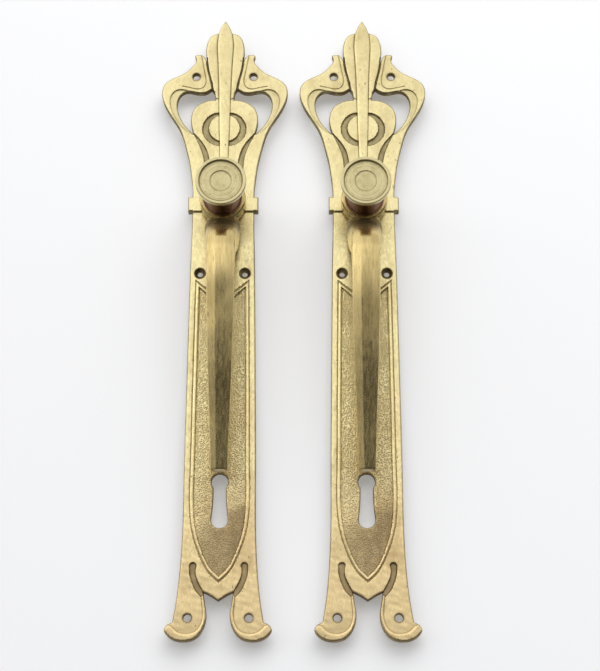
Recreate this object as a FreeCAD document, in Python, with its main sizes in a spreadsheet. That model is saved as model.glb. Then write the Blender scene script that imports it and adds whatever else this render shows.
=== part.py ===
import FreeCAD, Part
import Sketcher
import math
import os
import re
from FreeCAD import Vector

# A matched pair of lever handles on long cast back-plates.
# Frame: +Z up the plates, +X to the right, the fronts face -Y, the backs lie at Y = 0.
# The origin is on the left half's spindle axis, in the plane of the plate's back.
# "Height" below always means distance in front of the plate's back, along -Y.

SIZES = {
    # set-out of the pair
    "axis_spacing": 79.5,
    # back-plate
    "plate_thick": 4.0,
    "crown_width": 72.6,
    "crown_rise": 115.0,
    "shank_top_width": 35.0,
    "shank_low_width": 39.0,
    "foot_width": 57.0,
    "hub_to_keyhole": 159.8,
    "keyhole_to_shield": 64.6,
    "strap_width": 8.6,
    "strap_thick": 5.6,
    "strap_overhang": 2.3,
    "rib_raise": 0.9,
    "lobe_raise": 0.4,
    "lip_raise": 0.6,
    "groove_depth": 1.4,
    "rim_depth": 0.5,
    "field_depth": 1.3,
    "panel_margin": 3.2,
    "bead_width": 2.3,
    "keyhole_dia": 9.0,
    "keyhole_waist": 6.8,
    "keyhole_flare": 8.8,
    "keyhole_length": 29.7,
    "top_hole_dia": 4.2,
    "top_hole_spacing": 33.0,
    "mid_hole_dia": 3.2,
    "mid_hole_spacing": 25.0,
    "mid_hole_drop": 41.0,
    "countersink_dia": 6.4,
    "foot_hole_dia": 4.3,
    "foot_hole_spacing": 32.6,
    # bearing and fixings
    "journal_dia": 14.0,
    "running_gap": 0.05,
    "bush_wall": 5.0,
    "washer_thick": 0.5,
    "washer_width": 4.8,
    "face_gap": 0.05,
    "wave_thick": 0.8,
    "retainer_thick": 1.0,
    "ring_thick": 1.0,
    "ring_depth": 0.8,
    "ring_width": 2.2,
    "tail_end": 1.0,
    # lever
    "eye_dia": 26.0,
    "eye_front": 15.0,
    "stud_dia": 8.0,
    "lever_reach": 156.0,
    "grip_width": 15.6,
    "tip_width": 9.2,
    "shoulder_front": 34.2,
    "tip_front": 17.2,
    # end knob
    "collar_dia": 22.0,
    "collar_thick": 2.0,
    "neck_dia": 20.0,
    "disc_dia": 28.0,
    "disc_thick": 5.5,
    "disc_front": 41.5,
    # spindle and pin
    "spindle_side": 8.0,
    "socket_gap": 0.1,
    "socket_depth": 12.9,
    "spindle_tail": 60.0,
    "pin_dia": 2.5,
    "pin_height": 10.5,
}

# Half-width and height that the crown's and the feet's curves are drawn at.
CROWN_DRAWN = (36.3, 115.0)
FOOT_DRAWN = 28.5


def make_sheet(doc):
    """Put every driving size in the sheet, under its own alias."""
    sheet = doc.addObject("Spreadsheet::Sheet", "Sizes")
    for row, (alias, value) in enumerate(SIZES.items(), start=1):
        sheet.set(f"A{row}", alias)
        sheet.set(f"B{row}", str(value))
        sheet.setAlias(f"B{row}", alias)
    doc.recompute()
    return sheet


DOC = FreeCAD.newDocument("LeverPair")
SHEET = make_sheet(DOC)
LINKS = {alias: "Sizes." + alias for alias in SIZES}


def size(text):
    """Value of an expression written in the sheet's aliases, in millimetres."""
    return float(SHEET.evalExpression(text))


def linked(text):
    """The same expression with each alias read from the sheet."""
    return re.sub("[a-z_]+", lambda word: LINKS.get(word[0], word[0]), text)


# ---------------------------------------------------------------- helpers

def origin_item(body, role):
    """The body's own origin plane or axis that has this role."""
    return [item for item in body.Origin.OriginFeatures if item.Role == role][0]


def new_body(label, shift):
    """Body with its label, moved along X by an expression."""
    body = DOC.addObject("PartDesign::Body", label)
    body.Label = label
    body.setExpression("Placement.Base.x", linked(shift))
    return body


def new_sketch(body, name, role, lift=None):
    """Sketch on one of the body's origin planes, lifted along its normal."""
    sketch = body.newObject("Sketcher::SketchObject", name)
    sketch.AttachmentSupport = (origin_item(body, role), [""])
    sketch.MapMode = "FlatFace"
    if lift:
        sketch.setExpression("AttachmentOffset.Base.z", linked(lift))
    return sketch


def bind(sketch, kind, refs, text):
    """Dimension whose value follows an expression of the sheet."""
    index = sketch.addConstraint(Sketcher.Constraint(kind, *refs, size(text)))
    name = f"d{index}"
    sketch.renameConstraint(index, name)
    sketch.setExpression(f"Constraints.{name}", linked(text))


def polygon(sketch, corners):
    """Closed polygon whose corners are pairs of sheet expressions."""
    spots = [Vector(size(x), size(y), 0) for x, y in corners]
    count = len(spots)
    for i in range(count):
        sketch.addGeometry(Part.LineSegment(spots[i], spots[(i + 1) % count]))
    for i in range(count):
        sketch.addConstraint(Sketcher.Constraint("Coincident", i, 2, (i + 1) % count, 1))
    for i, (x, y) in enumerate(corners):
        bind(sketch, "DistanceX", (-1, 1, i, 1), x)
        bind(sketch, "DistanceY", (-1, 1, i, 1), y)


def circle(sketch, x, y, diameter):
    """Circle whose centre and diameter are sheet expressions."""
    shape = Part.Circle(Vector(size(x), size(y), 0), Vector(0, 0, 1), size(diameter) / 2)
    index = sketch.addGeometry(shape)
    bind(sketch, "Diameter", (index,), diameter)
    bind(sketch, "DistanceX", (-1, 1, index, 3), x)
    bind(sketch, "DistanceY", (-1, 1, index, 3), y)


def curve(points):
    """Smooth curve through the points, or a straight line through two."""
    spots = [Vector(x, y, 0) for x, y in points]
    if len(spots) == 2:
        return Part.LineSegment(*spots)
    line = Part.BSplineCurve()
    line.interpolate(spots)
    return line


def draw(sketch, runs):
    """Closed outline made of runs that start where the one before ends."""
    for run in runs:
        sketch.addGeometry(curve(run))


def flip(points):
    """The same points on the other side of the centre line, in reverse."""
    return [(-x, y) for x, y in reversed(points)]


def both_sides(runs):
    """Outline that starts and ends on the centre line, closed by its mirror."""
    return runs + [flip(run) for run in reversed(runs)]


def raise_pad(body, sketch, name, length, reverse=False):
    """Pad from the sketch towards the front."""
    pad = body.newObject("PartDesign::Pad", name)
    pad.Profile = sketch
    pad.Reversed = reverse
    pad.setExpression("Length", linked(length))
    DOC.recompute()
    return pad


def cut(body, sketch, name, depth=None):
    """Pocket towards the back: to a depth, or right through."""
    before = body.Shape.Volume
    pocket = body.newObject("PartDesign::Pocket", name)
    pocket.Profile = sketch
    if depth:
        pocket.setExpression("Length", linked(depth))
    else:
        pocket.Type = "ThroughAll"
        pocket.Midplane = True
    DOC.recompute()
    if not body.Shape.Volume < before:
        raise RuntimeError(f"{body.Label}: {name} cuts nothing")
    return pocket


def turn(body, name, corners, subtract=False):
    """Turned shape about the Y axis from (radius, height) corner expressions."""
    sketch = new_sketch(body, name + "_profile", "XY_Plane")
    polygon(sketch, [(radius, f"-({height})") for radius, height in corners])
    kind = "PartDesign::Groove" if subtract else "PartDesign::Revolution"
    feature = body.newObject(kind, name)
    feature.Profile = sketch
    feature.ReferenceAxis = (origin_item(body, "Y_Axis"), [""])
    feature.Angle = 360
    DOC.recompute()
    return feature


def ring(label, shift, inner, outer, back, front):
    """Plain turned ring between two radii and two heights."""
    body = new_body(label, shift)
    turn(body, "Ring", [(inner, back), (outer, back), (outer, front), (inner, front)])
    return body


# ---------------------------------------------------------------- plate curves

def crown(points):
    """Crown curve points, scaled from their drawn size."""
    across = size("crown_width / 2") / CROWN_DRAWN[0]
    up = size("crown_rise") / CROWN_DRAWN[1]
    return [(x * across, y * up) for x, y in points]


def shield_height():
    """Height of the shield's point."""
    return -size("hub_to_keyhole + keyhole_to_shield")


def foot(points):
    """Foot curve points, drawn from the shield's point."""
    across = size("foot_width / 2") / FOOT_DRAWN
    return [(x * across, y + shield_height()) for x, y in points]


def shank_half(down):
    """Half-width of the shank at a share of the way from hub to keyhole."""
    narrow = size("shank_top_width / 2")
    wide = size("shank_low_width / 2")
    swell = max(0.0, (down - 0.08) / 0.88) ** 0.7
    return narrow + (wide - narrow) * swell


def shank_edge(stations, inset=0.0):
    """Points of the shank's edge, set in by a margin."""
    drop = size("hub_to_keyhole")
    return [(shank_half(down) - inset, -drop * down) for down in stations]


def foot_edge():
    """Outer edge of the foot, from its notch up to the shank."""
    wide = size("shank_low_width / 2")
    flare = size("foot_width / 2") - wide
    steps = [(0.522, -11.2), (0.356, -2.2), (0.178, 11.7), (0.06, 28.4)]
    return [(wide + flare * part, shield_height() + up) for part, up in steps]


FOOT_NOTCH = (7.9, 4.6)
FOOT_SCROLL = [FOOT_NOTCH, (6.9, -2.2), (6.2, -7.3), (7.8, -14.8), (11.9, -19.9),
               (17.4, -21.5), (22.9, -20.8), (27.1, -18.0), (28.5, -15.4), (26.9, -12.5)]
LIP_INSIDE = [(8.9, 3.4), (8.5, -2.6), (8.1, -8.1), (9.7, -13.6), (13.3, -16.7),
              (17.4, -17.3), (21.5, -16.2), (24.6, -13.2)]
CROWN_SIDE = [(17.4, 1.0), (17.5, 6.5), (18.3, 15.9), (19.8, 26.2), (21.9, 35.1), (25.0, 45.0),
              (30.1, 53.8), (35.2, 63.6), (36.3, 69.4), (35.2, 74.2), (30.5, 78.3),
              (22.7, 82.4), (17.6, 87.6)]
EAR_HOOK = [(17.6, 87.6), (16.9, 90.4), (17.5, 92.6), (14.5, 93.5), (10.7, 89.6)]
LOBE_SIDE = [(10.7, 89.6), (11.2, 95.5), (10.4, 101.4), (7.9, 105.6), (3.9, 107.2)]
TIP_SIDE = [(3.9, 107.2), (2.2, 111.6), (0.0, 115.0)]


def plate_outline():
    """Whole outline: shield, foot, shank and crown, then the same mirrored."""
    notch = foot([FOOT_NOTCH])[0]
    scroll = foot(FOOT_SCROLL)
    edge = foot_edge()
    side = shank_edge([0.96, 0.75, 0.53, 0.31, 0.18, 0.08])
    hub = crown(CROWN_SIDE[:1])[0]
    return both_sides([
        [(0.0, shield_height()), (notch[0] * 0.47, shield_height() + 2.4), notch],
        scroll,
        [scroll[-1], edge[0]],
        edge + side,
        [side[-1], hub],
        crown(CROWN_SIDE),
        crown(EAR_HOOK),
        crown(LOBE_SIDE),
        crown(TIP_SIDE),
    ])


# ---------------------------------------------------------------- plate features

EYE_OPENING = [
    [(7.4, 71.6), (10.5, 69.6), (14.5, 69.0), (19.0, 69.9), (22.6, 69.9), (25.8, 67.3),
     (27.3, 62.5), (26.2, 56.0), (22.3, 48.8), (17.6, 43.6)],
    [(17.6, 43.6), (19.0, 49.0), (19.2, 54.0), (17.4, 59.4), (12.9, 63.1), (8.4, 64.6), (5.3, 64.8)],
    [(5.3, 64.8), (5.9, 69.4)],
    [(5.9, 69.4), (7.4, 71.6)],
]
CRESCENT = [
    [(19.6, 69.9), (24.0, 71.3), (28.3, 70.6), (31.2, 66.6), (31.1, 61.0), (27.9, 53.0),
     (22.6, 46.4), (17.9, 43.3)],
    [(17.9, 43.3), (21.0, 57.0)],
    [(21.0, 57.0), (19.6, 69.9)],
]
CROWN_GROOVE = [
    [(17.8, 43.9), (13.6, 35.0), (11.4, 27.0), (11.0, 20.0)],
    [(11.0, 20.0), (9.3, 18.2), (7.7, 20.0)],
    [(7.7, 20.0), (8.2, 27.0), (10.5, 35.0), (17.2, 43.9)],
    [(17.2, 43.9), (17.8, 43.9)],
]
# The slit runs out past the metal at both ends and bites a little into the lobe's side.
EAR_GROOVE = [
    [(11.3, 91.2), (10.4, 84.0), (8.7, 76.8), (7.3, 69.6)],
    [(7.3, 69.6), (6.1, 69.2)],
    [(6.1, 69.2), (7.6, 76.8), (9.2, 83.4), (10.2, 91.2)],
    [(10.2, 91.2), (11.3, 91.2)],
]
RIB_SIDE = [
    [(2.0, 13.0), (2.4, 31.0), (3.0, 52.0), (3.3, 65.0), (3.7, 79.0), (4.3, 91.5), (4.6, 100.0),
     (3.9, 107.2)],
    TIP_SIDE,
]
LOBE = [
    LOBE_SIDE,
    [(3.9, 107.2), (4.6, 100.0), (4.3, 91.5), (3.7, 79.0), (3.3, 65.0)],
    [(3.3, 65.0), (5.6, 66.0)],
    [(5.6, 66.0), (7.0, 73.0), (8.8, 80.0), (9.9, 85.0), (10.7, 89.6)],
]
# Outer and inner circle of the crown's C-shaped grooves: centre and radius.
C_OUTER = ((2.3, 46.6), 10.3)
C_INNER = ((0.7, 47.2), 8.2)
C_END = 3.1
FOOT_GROOVE = [
    [(9.3, 2.2), (12.2, 5.5), (14.3, 10.1), (15.5, 14.3), (15.75, 18.6)],
    [(15.75, 18.6), (15.1, 20.1), (13.8, 20.6), (12.4, 20.1), (11.8, 18.8), (12.2, 17.4)],
    [(12.2, 17.4), (12.3, 15.2), (11.0, 10.6), (9.0, 6.8), (7.0, 3.6)],
    [(7.0, 3.6), (9.3, 2.2)],
]


def mirrored(runs, scale):
    """The runs of one side, scaled, and the runs of the other side."""
    right = [scale(run) for run in runs]
    return right, [flip(run) for run in reversed(right)]


def c_groove(side):
    """Closed outline of one C-shaped groove: two arcs and the two ends."""
    across = size("crown_width / 2") / CROWN_DRAWN[0] * side
    up = size("crown_rise") / CROWN_DRAWN[1]
    arcs = []
    for (x, y), radius in (C_OUTER, C_INNER):
        half = math.sqrt(radius ** 2 - (C_END - x) ** 2)
        ends = [(C_END, y + half), (x + radius, y), (C_END, y - half)]
        arcs.append([Vector(px * across, py * up, 0) for px, py in ends])
    outer, inner = arcs
    return [
        Part.Arc(*outer),
        Part.LineSegment(outer[2], inner[2]),
        Part.Arc(*inner),
        Part.LineSegment(inner[0], outer[0]),
    ]


def panel(inset):
    """Closed outline of the panel, set in from its outer line."""
    margin = size("panel_margin") + inset
    top = -size("mid_hole_drop") - 3.7 - inset * 1.9
    start = -top / size("hub_to_keyhole")
    side = shank_edge([start, 0.45, 0.62, 0.8, 0.96], margin)
    tip = shield_height() + 9.6 + inset * 1.45
    rise = shield_height() + 44.4 - tip
    half = side[-1][0]
    ogive = [(0.975, 1.0), (0.9, 0.78), (0.765, 0.56), (0.57, 0.335), (0.32, 0.14), (0.0, 0.0)]
    side += [(half * part, tip + rise * up) for part, up in ogive]
    corner = side[0]
    brow = [(0.0, top - 9.6), (corner[0] * 0.55, top - 5.2), corner]
    return [brow, side, flip(side), flip(brow)]


def keyhole():
    """Round top, waist and flared rounded bottom of the keyhole."""
    centre = -size("hub_to_keyhole")
    radius = size("keyhole_dia / 2")
    waist = size("keyhole_waist / 2")
    flare = size("keyhole_flare / 2")
    foot_at = centre + radius - size("keyhole_length")
    neck = centre - math.sqrt(radius ** 2 - waist ** 2)
    top = Part.Arc(Vector(waist, neck, 0), Vector(0, centre + radius, 0), Vector(-waist, neck, 0))
    side = [(waist, neck), (waist, neck - 4.0), (flare * 0.97, foot_at + 6.5),
            (flare, foot_at + 4.0), (flare * 0.7, foot_at + 1.1), (0.0, foot_at)]
    return [top, curve(side), curve(flip(side))]


def pair_of_holes(body, name, spacing, height, diameter):
    """Two plain round holes right through, each side of the centre line."""
    sketch = new_sketch(body, name + "_sketch", "XZ_Plane")
    for sign in ("", "-"):
        circle(sketch, f"{sign}{spacing} / 2", height, diameter)
    cut(body, sketch, name)


def countersinks(body):
    """Conical seats of the two middle screw holes."""
    for sign, side in (("", "right"), ("-", "left")):
        cone = body.newObject("PartDesign::SubtractiveCone", f"Seat_{side}")
        cone.AttachmentSupport = (origin_item(body, "XZ_Plane"), [""])
        cone.MapMode = "FlatFace"
        cone.setExpression("Radius1", linked("mid_hole_dia / 2"))
        cone.setExpression("Radius2", linked("countersink_dia / 2"))
        cone.setExpression("Height", linked("(countersink_dia - mid_hole_dia) / 2"))
        cone.setExpression("AttachmentOffset.Base.x", linked(f"{sign}mid_hole_spacing / 2"))
        cone.setExpression("AttachmentOffset.Base.y", linked("-mid_hole_drop"))
        lift = "plate_thick - (countersink_dia - mid_hole_dia) / 2"
        cone.setExpression("AttachmentOffset.Base.z", linked(lift))
        DOC.recompute()


# ---------------------------------------------------------------- heights of the bearing stack

BUSH_BORE = "journal_dia + 2 * running_gap"
BUSH_OUTER = "journal_dia + 2 * running_gap + 2 * bush_wall"
EYE_BACK = "strap_thick + washer_thick + face_gap"
WAVE_BACK = "0 - wave_thick"
RETAINER_FRONT = "0 - wave_thick - face_gap"
RETAINER_BACK = "0 - wave_thick - face_gap - retainer_thick"
RING_BACK = "0 - wave_thick - face_gap - retainer_thick - ring_thick"
TAIL = "0 - wave_thick - face_gap - retainer_thick - ring_thick - tail_end"
STRAP_HALF = "max(shank_top_width / 2; crown_width * 0.24) + strap_overhang"


# ---------------------------------------------------------------- pieces

def build_plate(side, shift):
    """Cast back-plate: outline, strap and raised work, then everything cut in."""
    body = new_body(f"{side}_backplate", shift)
    outline = new_sketch(body, "Outline", "XZ_Plane")
    draw(outline, plate_outline())
    raise_pad(body, outline, "Plate", "plate_thick")

    strap = new_sketch(body, "Strap_outline", "XZ_Plane")
    polygon(strap, [
        (f"-({STRAP_HALF})", "-strap_width / 2"), (STRAP_HALF, "-strap_width / 2"),
        (STRAP_HALF, "strap_width / 2"), (f"-({STRAP_HALF})", "strap_width / 2"),
    ])
    raise_pad(body, strap, "Strap", "strap_thick")

    rib = new_sketch(body, "Rib_outline", "XZ_Plane", "plate_thick")
    edges = [crown(run) for run in RIB_SIDE]
    draw(rib, both_sides(edges) + [[flip(edges[0])[-1], edges[0][0]]])
    raise_pad(body, rib, "Rib", "rib_raise")
    for name, runs, scale, height in (("Lobe", LOBE, crown, "lobe_raise"),
                                      ("Lip", [FOOT_SCROLL] + lip_inside(), foot, "lip_raise")):
        for hand, outline_runs in zip(("right", "left"), mirrored(runs, scale)):
            sketch = new_sketch(body, f"{name}_{hand}_outline", "XZ_Plane", "plate_thick")
            draw(sketch, outline_runs)
            raise_pad(body, sketch, f"{name}_{hand}", height)

    for hand, runs in zip(("right", "left"), mirrored(EYE_OPENING, crown)):
        sketch = new_sketch(body, f"Opening_{hand}_outline", "XZ_Plane")
        draw(sketch, runs)
        cut(body, sketch, f"Opening_{hand}")
    above = "plate_thick + rib_raise"
    deep = "groove_depth + rib_raise"
    for name, runs, scale in (("Crescent", CRESCENT, crown), ("Crown_groove", CROWN_GROOVE, crown),
                              ("Ear_groove", EAR_GROOVE, crown), ("Foot_groove", FOOT_GROOVE, foot)):
        for hand, outline_runs in zip(("right", "left"), mirrored(runs, scale)):
            sketch = new_sketch(body, f"{name}_{hand}_outline", "XZ_Plane", above)
            draw(sketch, outline_runs)
            cut(body, sketch, f"{name}_{hand}", deep)
    for hand, sign in (("right", 1), ("left", -1)):
        sketch = new_sketch(body, f"C_groove_{hand}_outline", "XZ_Plane", above)
        for edge in c_groove(sign):
            sketch.addGeometry(edge)
        cut(body, sketch, f"C_groove_{hand}", deep)

    frame = new_sketch(body, "Frame_outline", "XZ_Plane", "plate_thick")
    draw(frame, panel(0.0))
    cut(body, frame, "Frame", "rim_depth")
    field = new_sketch(body, "Field_outline", "XZ_Plane", "plate_thick")
    draw(field, panel(size("bead_width")))
    cut(body, field, "Field", "field_depth")

    key = new_sketch(body, "Keyhole_outline", "XZ_Plane")
    for edge in keyhole():
        key.addGeometry(edge)
    cut(body, key, "Keyhole")
    hub = new_sketch(body, "Hub_hole_outline", "XZ_Plane")
    circle(hub, "0", "0", BUSH_OUTER)
    cut(body, hub, "Hub_hole")
    pair_of_holes(body, "Top_holes", "top_hole_spacing", "crown_rise * 0.69", "top_hole_dia")
    pair_of_holes(body, "Middle_holes", "mid_hole_spacing", "-mid_hole_drop", "mid_hole_dia")
    foot_holes = "-(hub_to_keyhole + keyhole_to_shield + 9)"
    pair_of_holes(body, "Foot_holes", "foot_hole_spacing", foot_holes, "foot_hole_dia")
    countersinks(body)
    return body


def lip_inside():
    """Inner edge of the foot's raised lip, joined to the scroll's ends."""
    inner = list(reversed(LIP_INSIDE))
    return [[FOOT_SCROLL[-1], inner[0]], inner, [inner[-1], FOOT_SCROLL[0]]]


# Root of the arm, from inside the eye outwards: distance from the hub as a share of the eye's
# radius, rise of the front towards the shoulder, rise of the back, half-width of the front
# facets and of the skirt that stands beside them, as shares of the grip's half-width.
ARM_ROOT = [
    (0.5, -0.03, 0.0, 0.95, 1.02),
    (0.9, -0.012, 0.0, 0.97, 1.18),
    (1.12, 0.14, 0.0, 0.98, 1.26),
    (1.5, 0.5, 0.005, 1.0, 1.28),
    (1.92, 0.82, 0.05, 1.01, 1.22),
    (2.35, 0.97, 0.3, 1.01, 1.1),
    (2.95, 0.985, 0.7, 1.0, 1.0),
]
# Grip: share of the way to the tip, then shares of the change in height and in width.
ARM_GRIP = [(0.085, 0.065, 0.03), (0.27, 0.23, 0.12), (0.52, 0.48, 0.4), (0.78, 0.79, 0.75),
            (0.93, 0.935, 0.94), (1.0, 1.0, 1.0)]
GRIP_DEPTH = (10.8, 6.6)


def arm_sections():
    """Sections of the arm: drop, front, back, half-width, skirt half-width."""
    eye = size("eye_dia / 2")
    back = size(EYE_BACK) + 0.1
    top = size("shoulder_front")
    low = size("tip_front")
    wide = size("grip_width / 2")
    slim = size("tip_width / 2")
    thick, thin = GRIP_DEPTH
    sections = []
    for share, rise, lift, facet, skirt in ARM_ROOT:
        front = size("eye_front") + (top - size("eye_front")) * rise
        rear = back + (top - thick - back) * lift
        sections.append((eye * share, front, rear, wide * facet, wide * skirt))
    start = sections[-1][0]
    for share, fall, taper in ARM_GRIP:
        front = top + (low - top) * fall
        half = wide + (slim - wide) * taper
        depth = thick + (thin - thick) * share
        drop = start + (size("lever_reach") - start) * share
        sections.append((drop, front, front - depth, half, half))
    return sections


def arm_outline(front, rear, half, skirt):
    """Eight-sided section: flat band, two chamfers, sides and narrower back."""
    band = half * 0.36
    bevel = min(half * 0.3, (front - rear) * 0.3)
    middle = rear + (front - bevel - rear) * 0.45
    heel = skirt * (0.97 if skirt > half else 0.62)
    right = [(band, front), (half, front - bevel), (skirt, middle), (heel, rear)]
    return right + [(-x, height) for x, height in reversed(right)]


def arm_blank(side):
    """Arm as a solid: eight smooth edges along it, a face between each two, two flat ends."""
    sections = arm_sections()
    rings = []
    for drop, front, rear, half, skirt in sections:
        corners = arm_outline(front, rear, half, skirt)
        rings.append([Vector(x, -height, -drop) for x, height in corners])
    marks = [0.0]
    for one, two in zip(sections, sections[1:]):
        marks.append(marks[-1] + math.hypot(two[0] - one[0], two[1] - one[1]))
    edges = []
    for corner in range(len(rings[0])):
        line = Part.BSplineCurve()
        line.interpolate(Points=[section[corner] for section in rings], Parameters=marks)
        edges.append(line.toShape())
    faces = [Part.makeRuledSurface(edge, edges[(i + 1) % len(edges)]) for i, edge in enumerate(edges)]
    for section in (rings[0], rings[-1]):
        faces.append(Part.Face(Part.makePolygon(section + section[:1])))
    shell = Part.makeShell(faces)
    shell.sewShape()
    solid = Part.Solid(shell)
    if solid.Volume < 0:
        solid.reverse()
    blank = DOC.addObject("Part::Feature", f"{side}_arm_blank")
    blank.Shape = solid
    return blank


def build_lever(side, shift):
    """Lever casting: arm, then journal, eye and stud turned on it, socket and holes cut."""
    body = new_body(f"{side}_lever", shift)
    body.BaseFeature = arm_blank(side)
    DOC.recompute()
    stud_end = "disc_front - 1.5"
    turn(body, "Hub", [
        ("0", TAIL), ("journal_dia / 2", TAIL), ("journal_dia / 2", EYE_BACK),
        ("eye_dia / 2", EYE_BACK), ("eye_dia / 2", "eye_front"), ("stud_dia / 2", "eye_front"),
        ("stud_dia / 2", stud_end), ("0", stud_end),
    ])
    turn(body, "Ring_groove", [
        ("journal_dia / 2 - ring_depth", RING_BACK), ("journal_dia", RING_BACK),
        ("journal_dia", RETAINER_BACK), ("journal_dia / 2 - ring_depth", RETAINER_BACK),
    ], subtract=True)
    socket = new_sketch(body, "Socket_outline", "XZ_Plane", TAIL)
    half = "spindle_side / 2 + socket_gap"
    polygon(socket, [(f"-({half})", f"-({half})"), (half, f"-({half})"),
                     (half, half), (f"-({half})", half)])
    pocket = body.newObject("PartDesign::Pocket", "Socket")
    pocket.Profile = socket
    pocket.Reversed = True
    pocket.setExpression("Length", linked(f"socket_depth - ({TAIL})"))
    DOC.recompute()
    pin = new_sketch(body, "Pin_hole_outline", "YZ_Plane")
    circle(pin, "0 - pin_height", "0", "pin_dia")
    cut(body, pin, "Pin_hole")
    return body


def build_disc(side, shift):
    """Turned end disc: rim, sunk face with rings, and the dish round the stud."""
    body = new_body(f"{side}_end_disc", shift)
    back = "disc_front - disc_thick"
    turn(body, "Disc", [
        ("stud_dia / 2", back), ("neck_dia / 2 + 0.5", back), ("disc_dia / 2 - 1.4", f"{back} + 1.2"),
        ("disc_dia / 2", f"{back} + 2.8"), ("disc_dia / 2", "disc_front - 0.5"),
        ("disc_dia / 2 - 0.5", "disc_front"), ("disc_dia / 2 - 1.5", "disc_front"),
        ("disc_dia / 2 - 2.1", "disc_front - 1.3"), ("disc_dia * 0.34", "disc_front - 1.0"),
        ("disc_dia * 0.225", "disc_front - 0.9"), ("disc_dia * 0.215", "disc_front - 1.5"),
        ("stud_dia / 2", "disc_front - 1.5"),
    ])
    return body


def build_neck(side, shift):
    """Slightly waisted sleeve between the collar and the end disc."""
    body = new_body(f"{side}_neck_sleeve", shift)
    low = "eye_front + collar_thick"
    high = "disc_front - disc_thick"
    middle = f"({low} + {high}) / 2"
    turn(body, "Sleeve", [
        ("stud_dia / 2", low), ("neck_dia / 2 + 0.3", low), ("neck_dia / 2", f"{low} + 1"),
        ("neck_dia / 2 - 0.5", middle), ("neck_dia / 2", f"{high} - 1"),
        ("neck_dia / 2 + 0.3", high), ("stud_dia / 2", high),
    ])
    return body


def build_spindle(side, shift):
    """Square spindle, drilled for the cross pin."""
    body = new_body(f"{side}_spindle", shift)
    square = new_sketch(body, "Square", "XZ_Plane", "0 - spindle_tail")
    half = "spindle_side / 2"
    polygon(square, [(f"-{half}", f"-{half}"), (half, f"-{half}"), (half, half), (f"-{half}", half)])
    raise_pad(body, square, "Bar", "spindle_tail + socket_depth - socket_gap")
    pin = new_sketch(body, "Pin_hole_outline", "YZ_Plane")
    circle(pin, "0 - pin_height", "0", "pin_dia")
    cut(body, pin, "Pin_hole")
    return body


def build_pin(side, shift):
    """Cross pin through the eye and the spindle."""
    pin = DOC.addObject("Part::Cylinder", f"{side}_cross_pin")
    pin.Label = f"{side}_cross_pin"
    pin.setExpression("Radius", linked("pin_dia / 2"))
    pin.setExpression("Height", linked("eye_dia"))
    pin.Placement = FreeCAD.Placement(Vector(), FreeCAD.Rotation(Vector(0, 1, 0), 90))
    pin.setExpression("Placement.Base.x", linked(f"{shift} - eye_dia / 2"))
    pin.setExpression("Placement.Base.y", linked("0 - pin_height"))
    return pin


def build_half(side, shift):
    """Every piece of one half, at its own spindle axis."""
    washer_outer = f"{BUSH_BORE} + 2 * washer_width"
    pieces = [
        build_plate(side, shift),
        ring(f"{side}_guide_bush", shift, f"({BUSH_BORE}) / 2", f"({BUSH_OUTER}) / 2",
             "0", "strap_thick"),
        ring(f"{side}_thrust_washer", shift, f"({BUSH_BORE}) / 2", f"({washer_outer}) / 2",
             "strap_thick", "strap_thick + washer_thick"),
        ring(f"{side}_wave_washer", shift, f"({BUSH_BORE}) / 2 + 0.1", f"({washer_outer}) / 2",
             WAVE_BACK, "0"),
        ring(f"{side}_retaining_washer", shift, "journal_dia / 2", f"({washer_outer}) / 2",
             RETAINER_BACK, RETAINER_FRONT),
        ring(f"{side}_retaining_ring", shift, "journal_dia / 2 - ring_depth",
             "journal_dia / 2 - ring_depth + ring_width", RING_BACK, RETAINER_BACK),
        build_lever(side, shift),
        ring(f"{side}_collar_ring", shift, "stud_dia / 2", "collar_dia / 2",
             "eye_front", "eye_front + collar_thick"),
        build_neck(side, shift),
        build_disc(side, shift),
    ]
    return pieces


def check(pieces):
    """Stop if any object failed, or any piece isn't one sound solid."""
    for item in DOC.Objects:
        if "Invalid" in item.State or "Error" in item.State:
            raise RuntimeError(f"{item.Label} failed: {item.State}")
    for piece in pieces:
        shape = piece.Shape
        if shape.isNull() or not shape.isValid() or len(shape.Solids) != 1:
            raise RuntimeError(f"{piece.Label} isn't one valid solid")


def main():
    """Build both halves, check them and write each piece."""
    pieces = build_half("left", "0")
    pieces += [build_spindle("left", "0"), build_pin("left", "0")]
    pieces += build_half("right", "axis_spacing")
    DOC.recompute()
    check(pieces)
    os.makedirs("parts", exist_ok=True)
    for piece in pieces:
        piece.Shape.exportStep(os.path.join("parts", piece.Label + ".step"))
        print(f"{piece.Label}: {piece.Shape.Volume:.0f} mm3")


main()
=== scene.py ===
import logging
import math
from dataclasses import dataclass, field
from enum import Enum
from typing import Dict, List, Optional, Sequence, Tuple

import bmesh
import bpy
import numpy as np
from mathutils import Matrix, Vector
from mathutils.geometry import delaunay_2d_cdt


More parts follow.
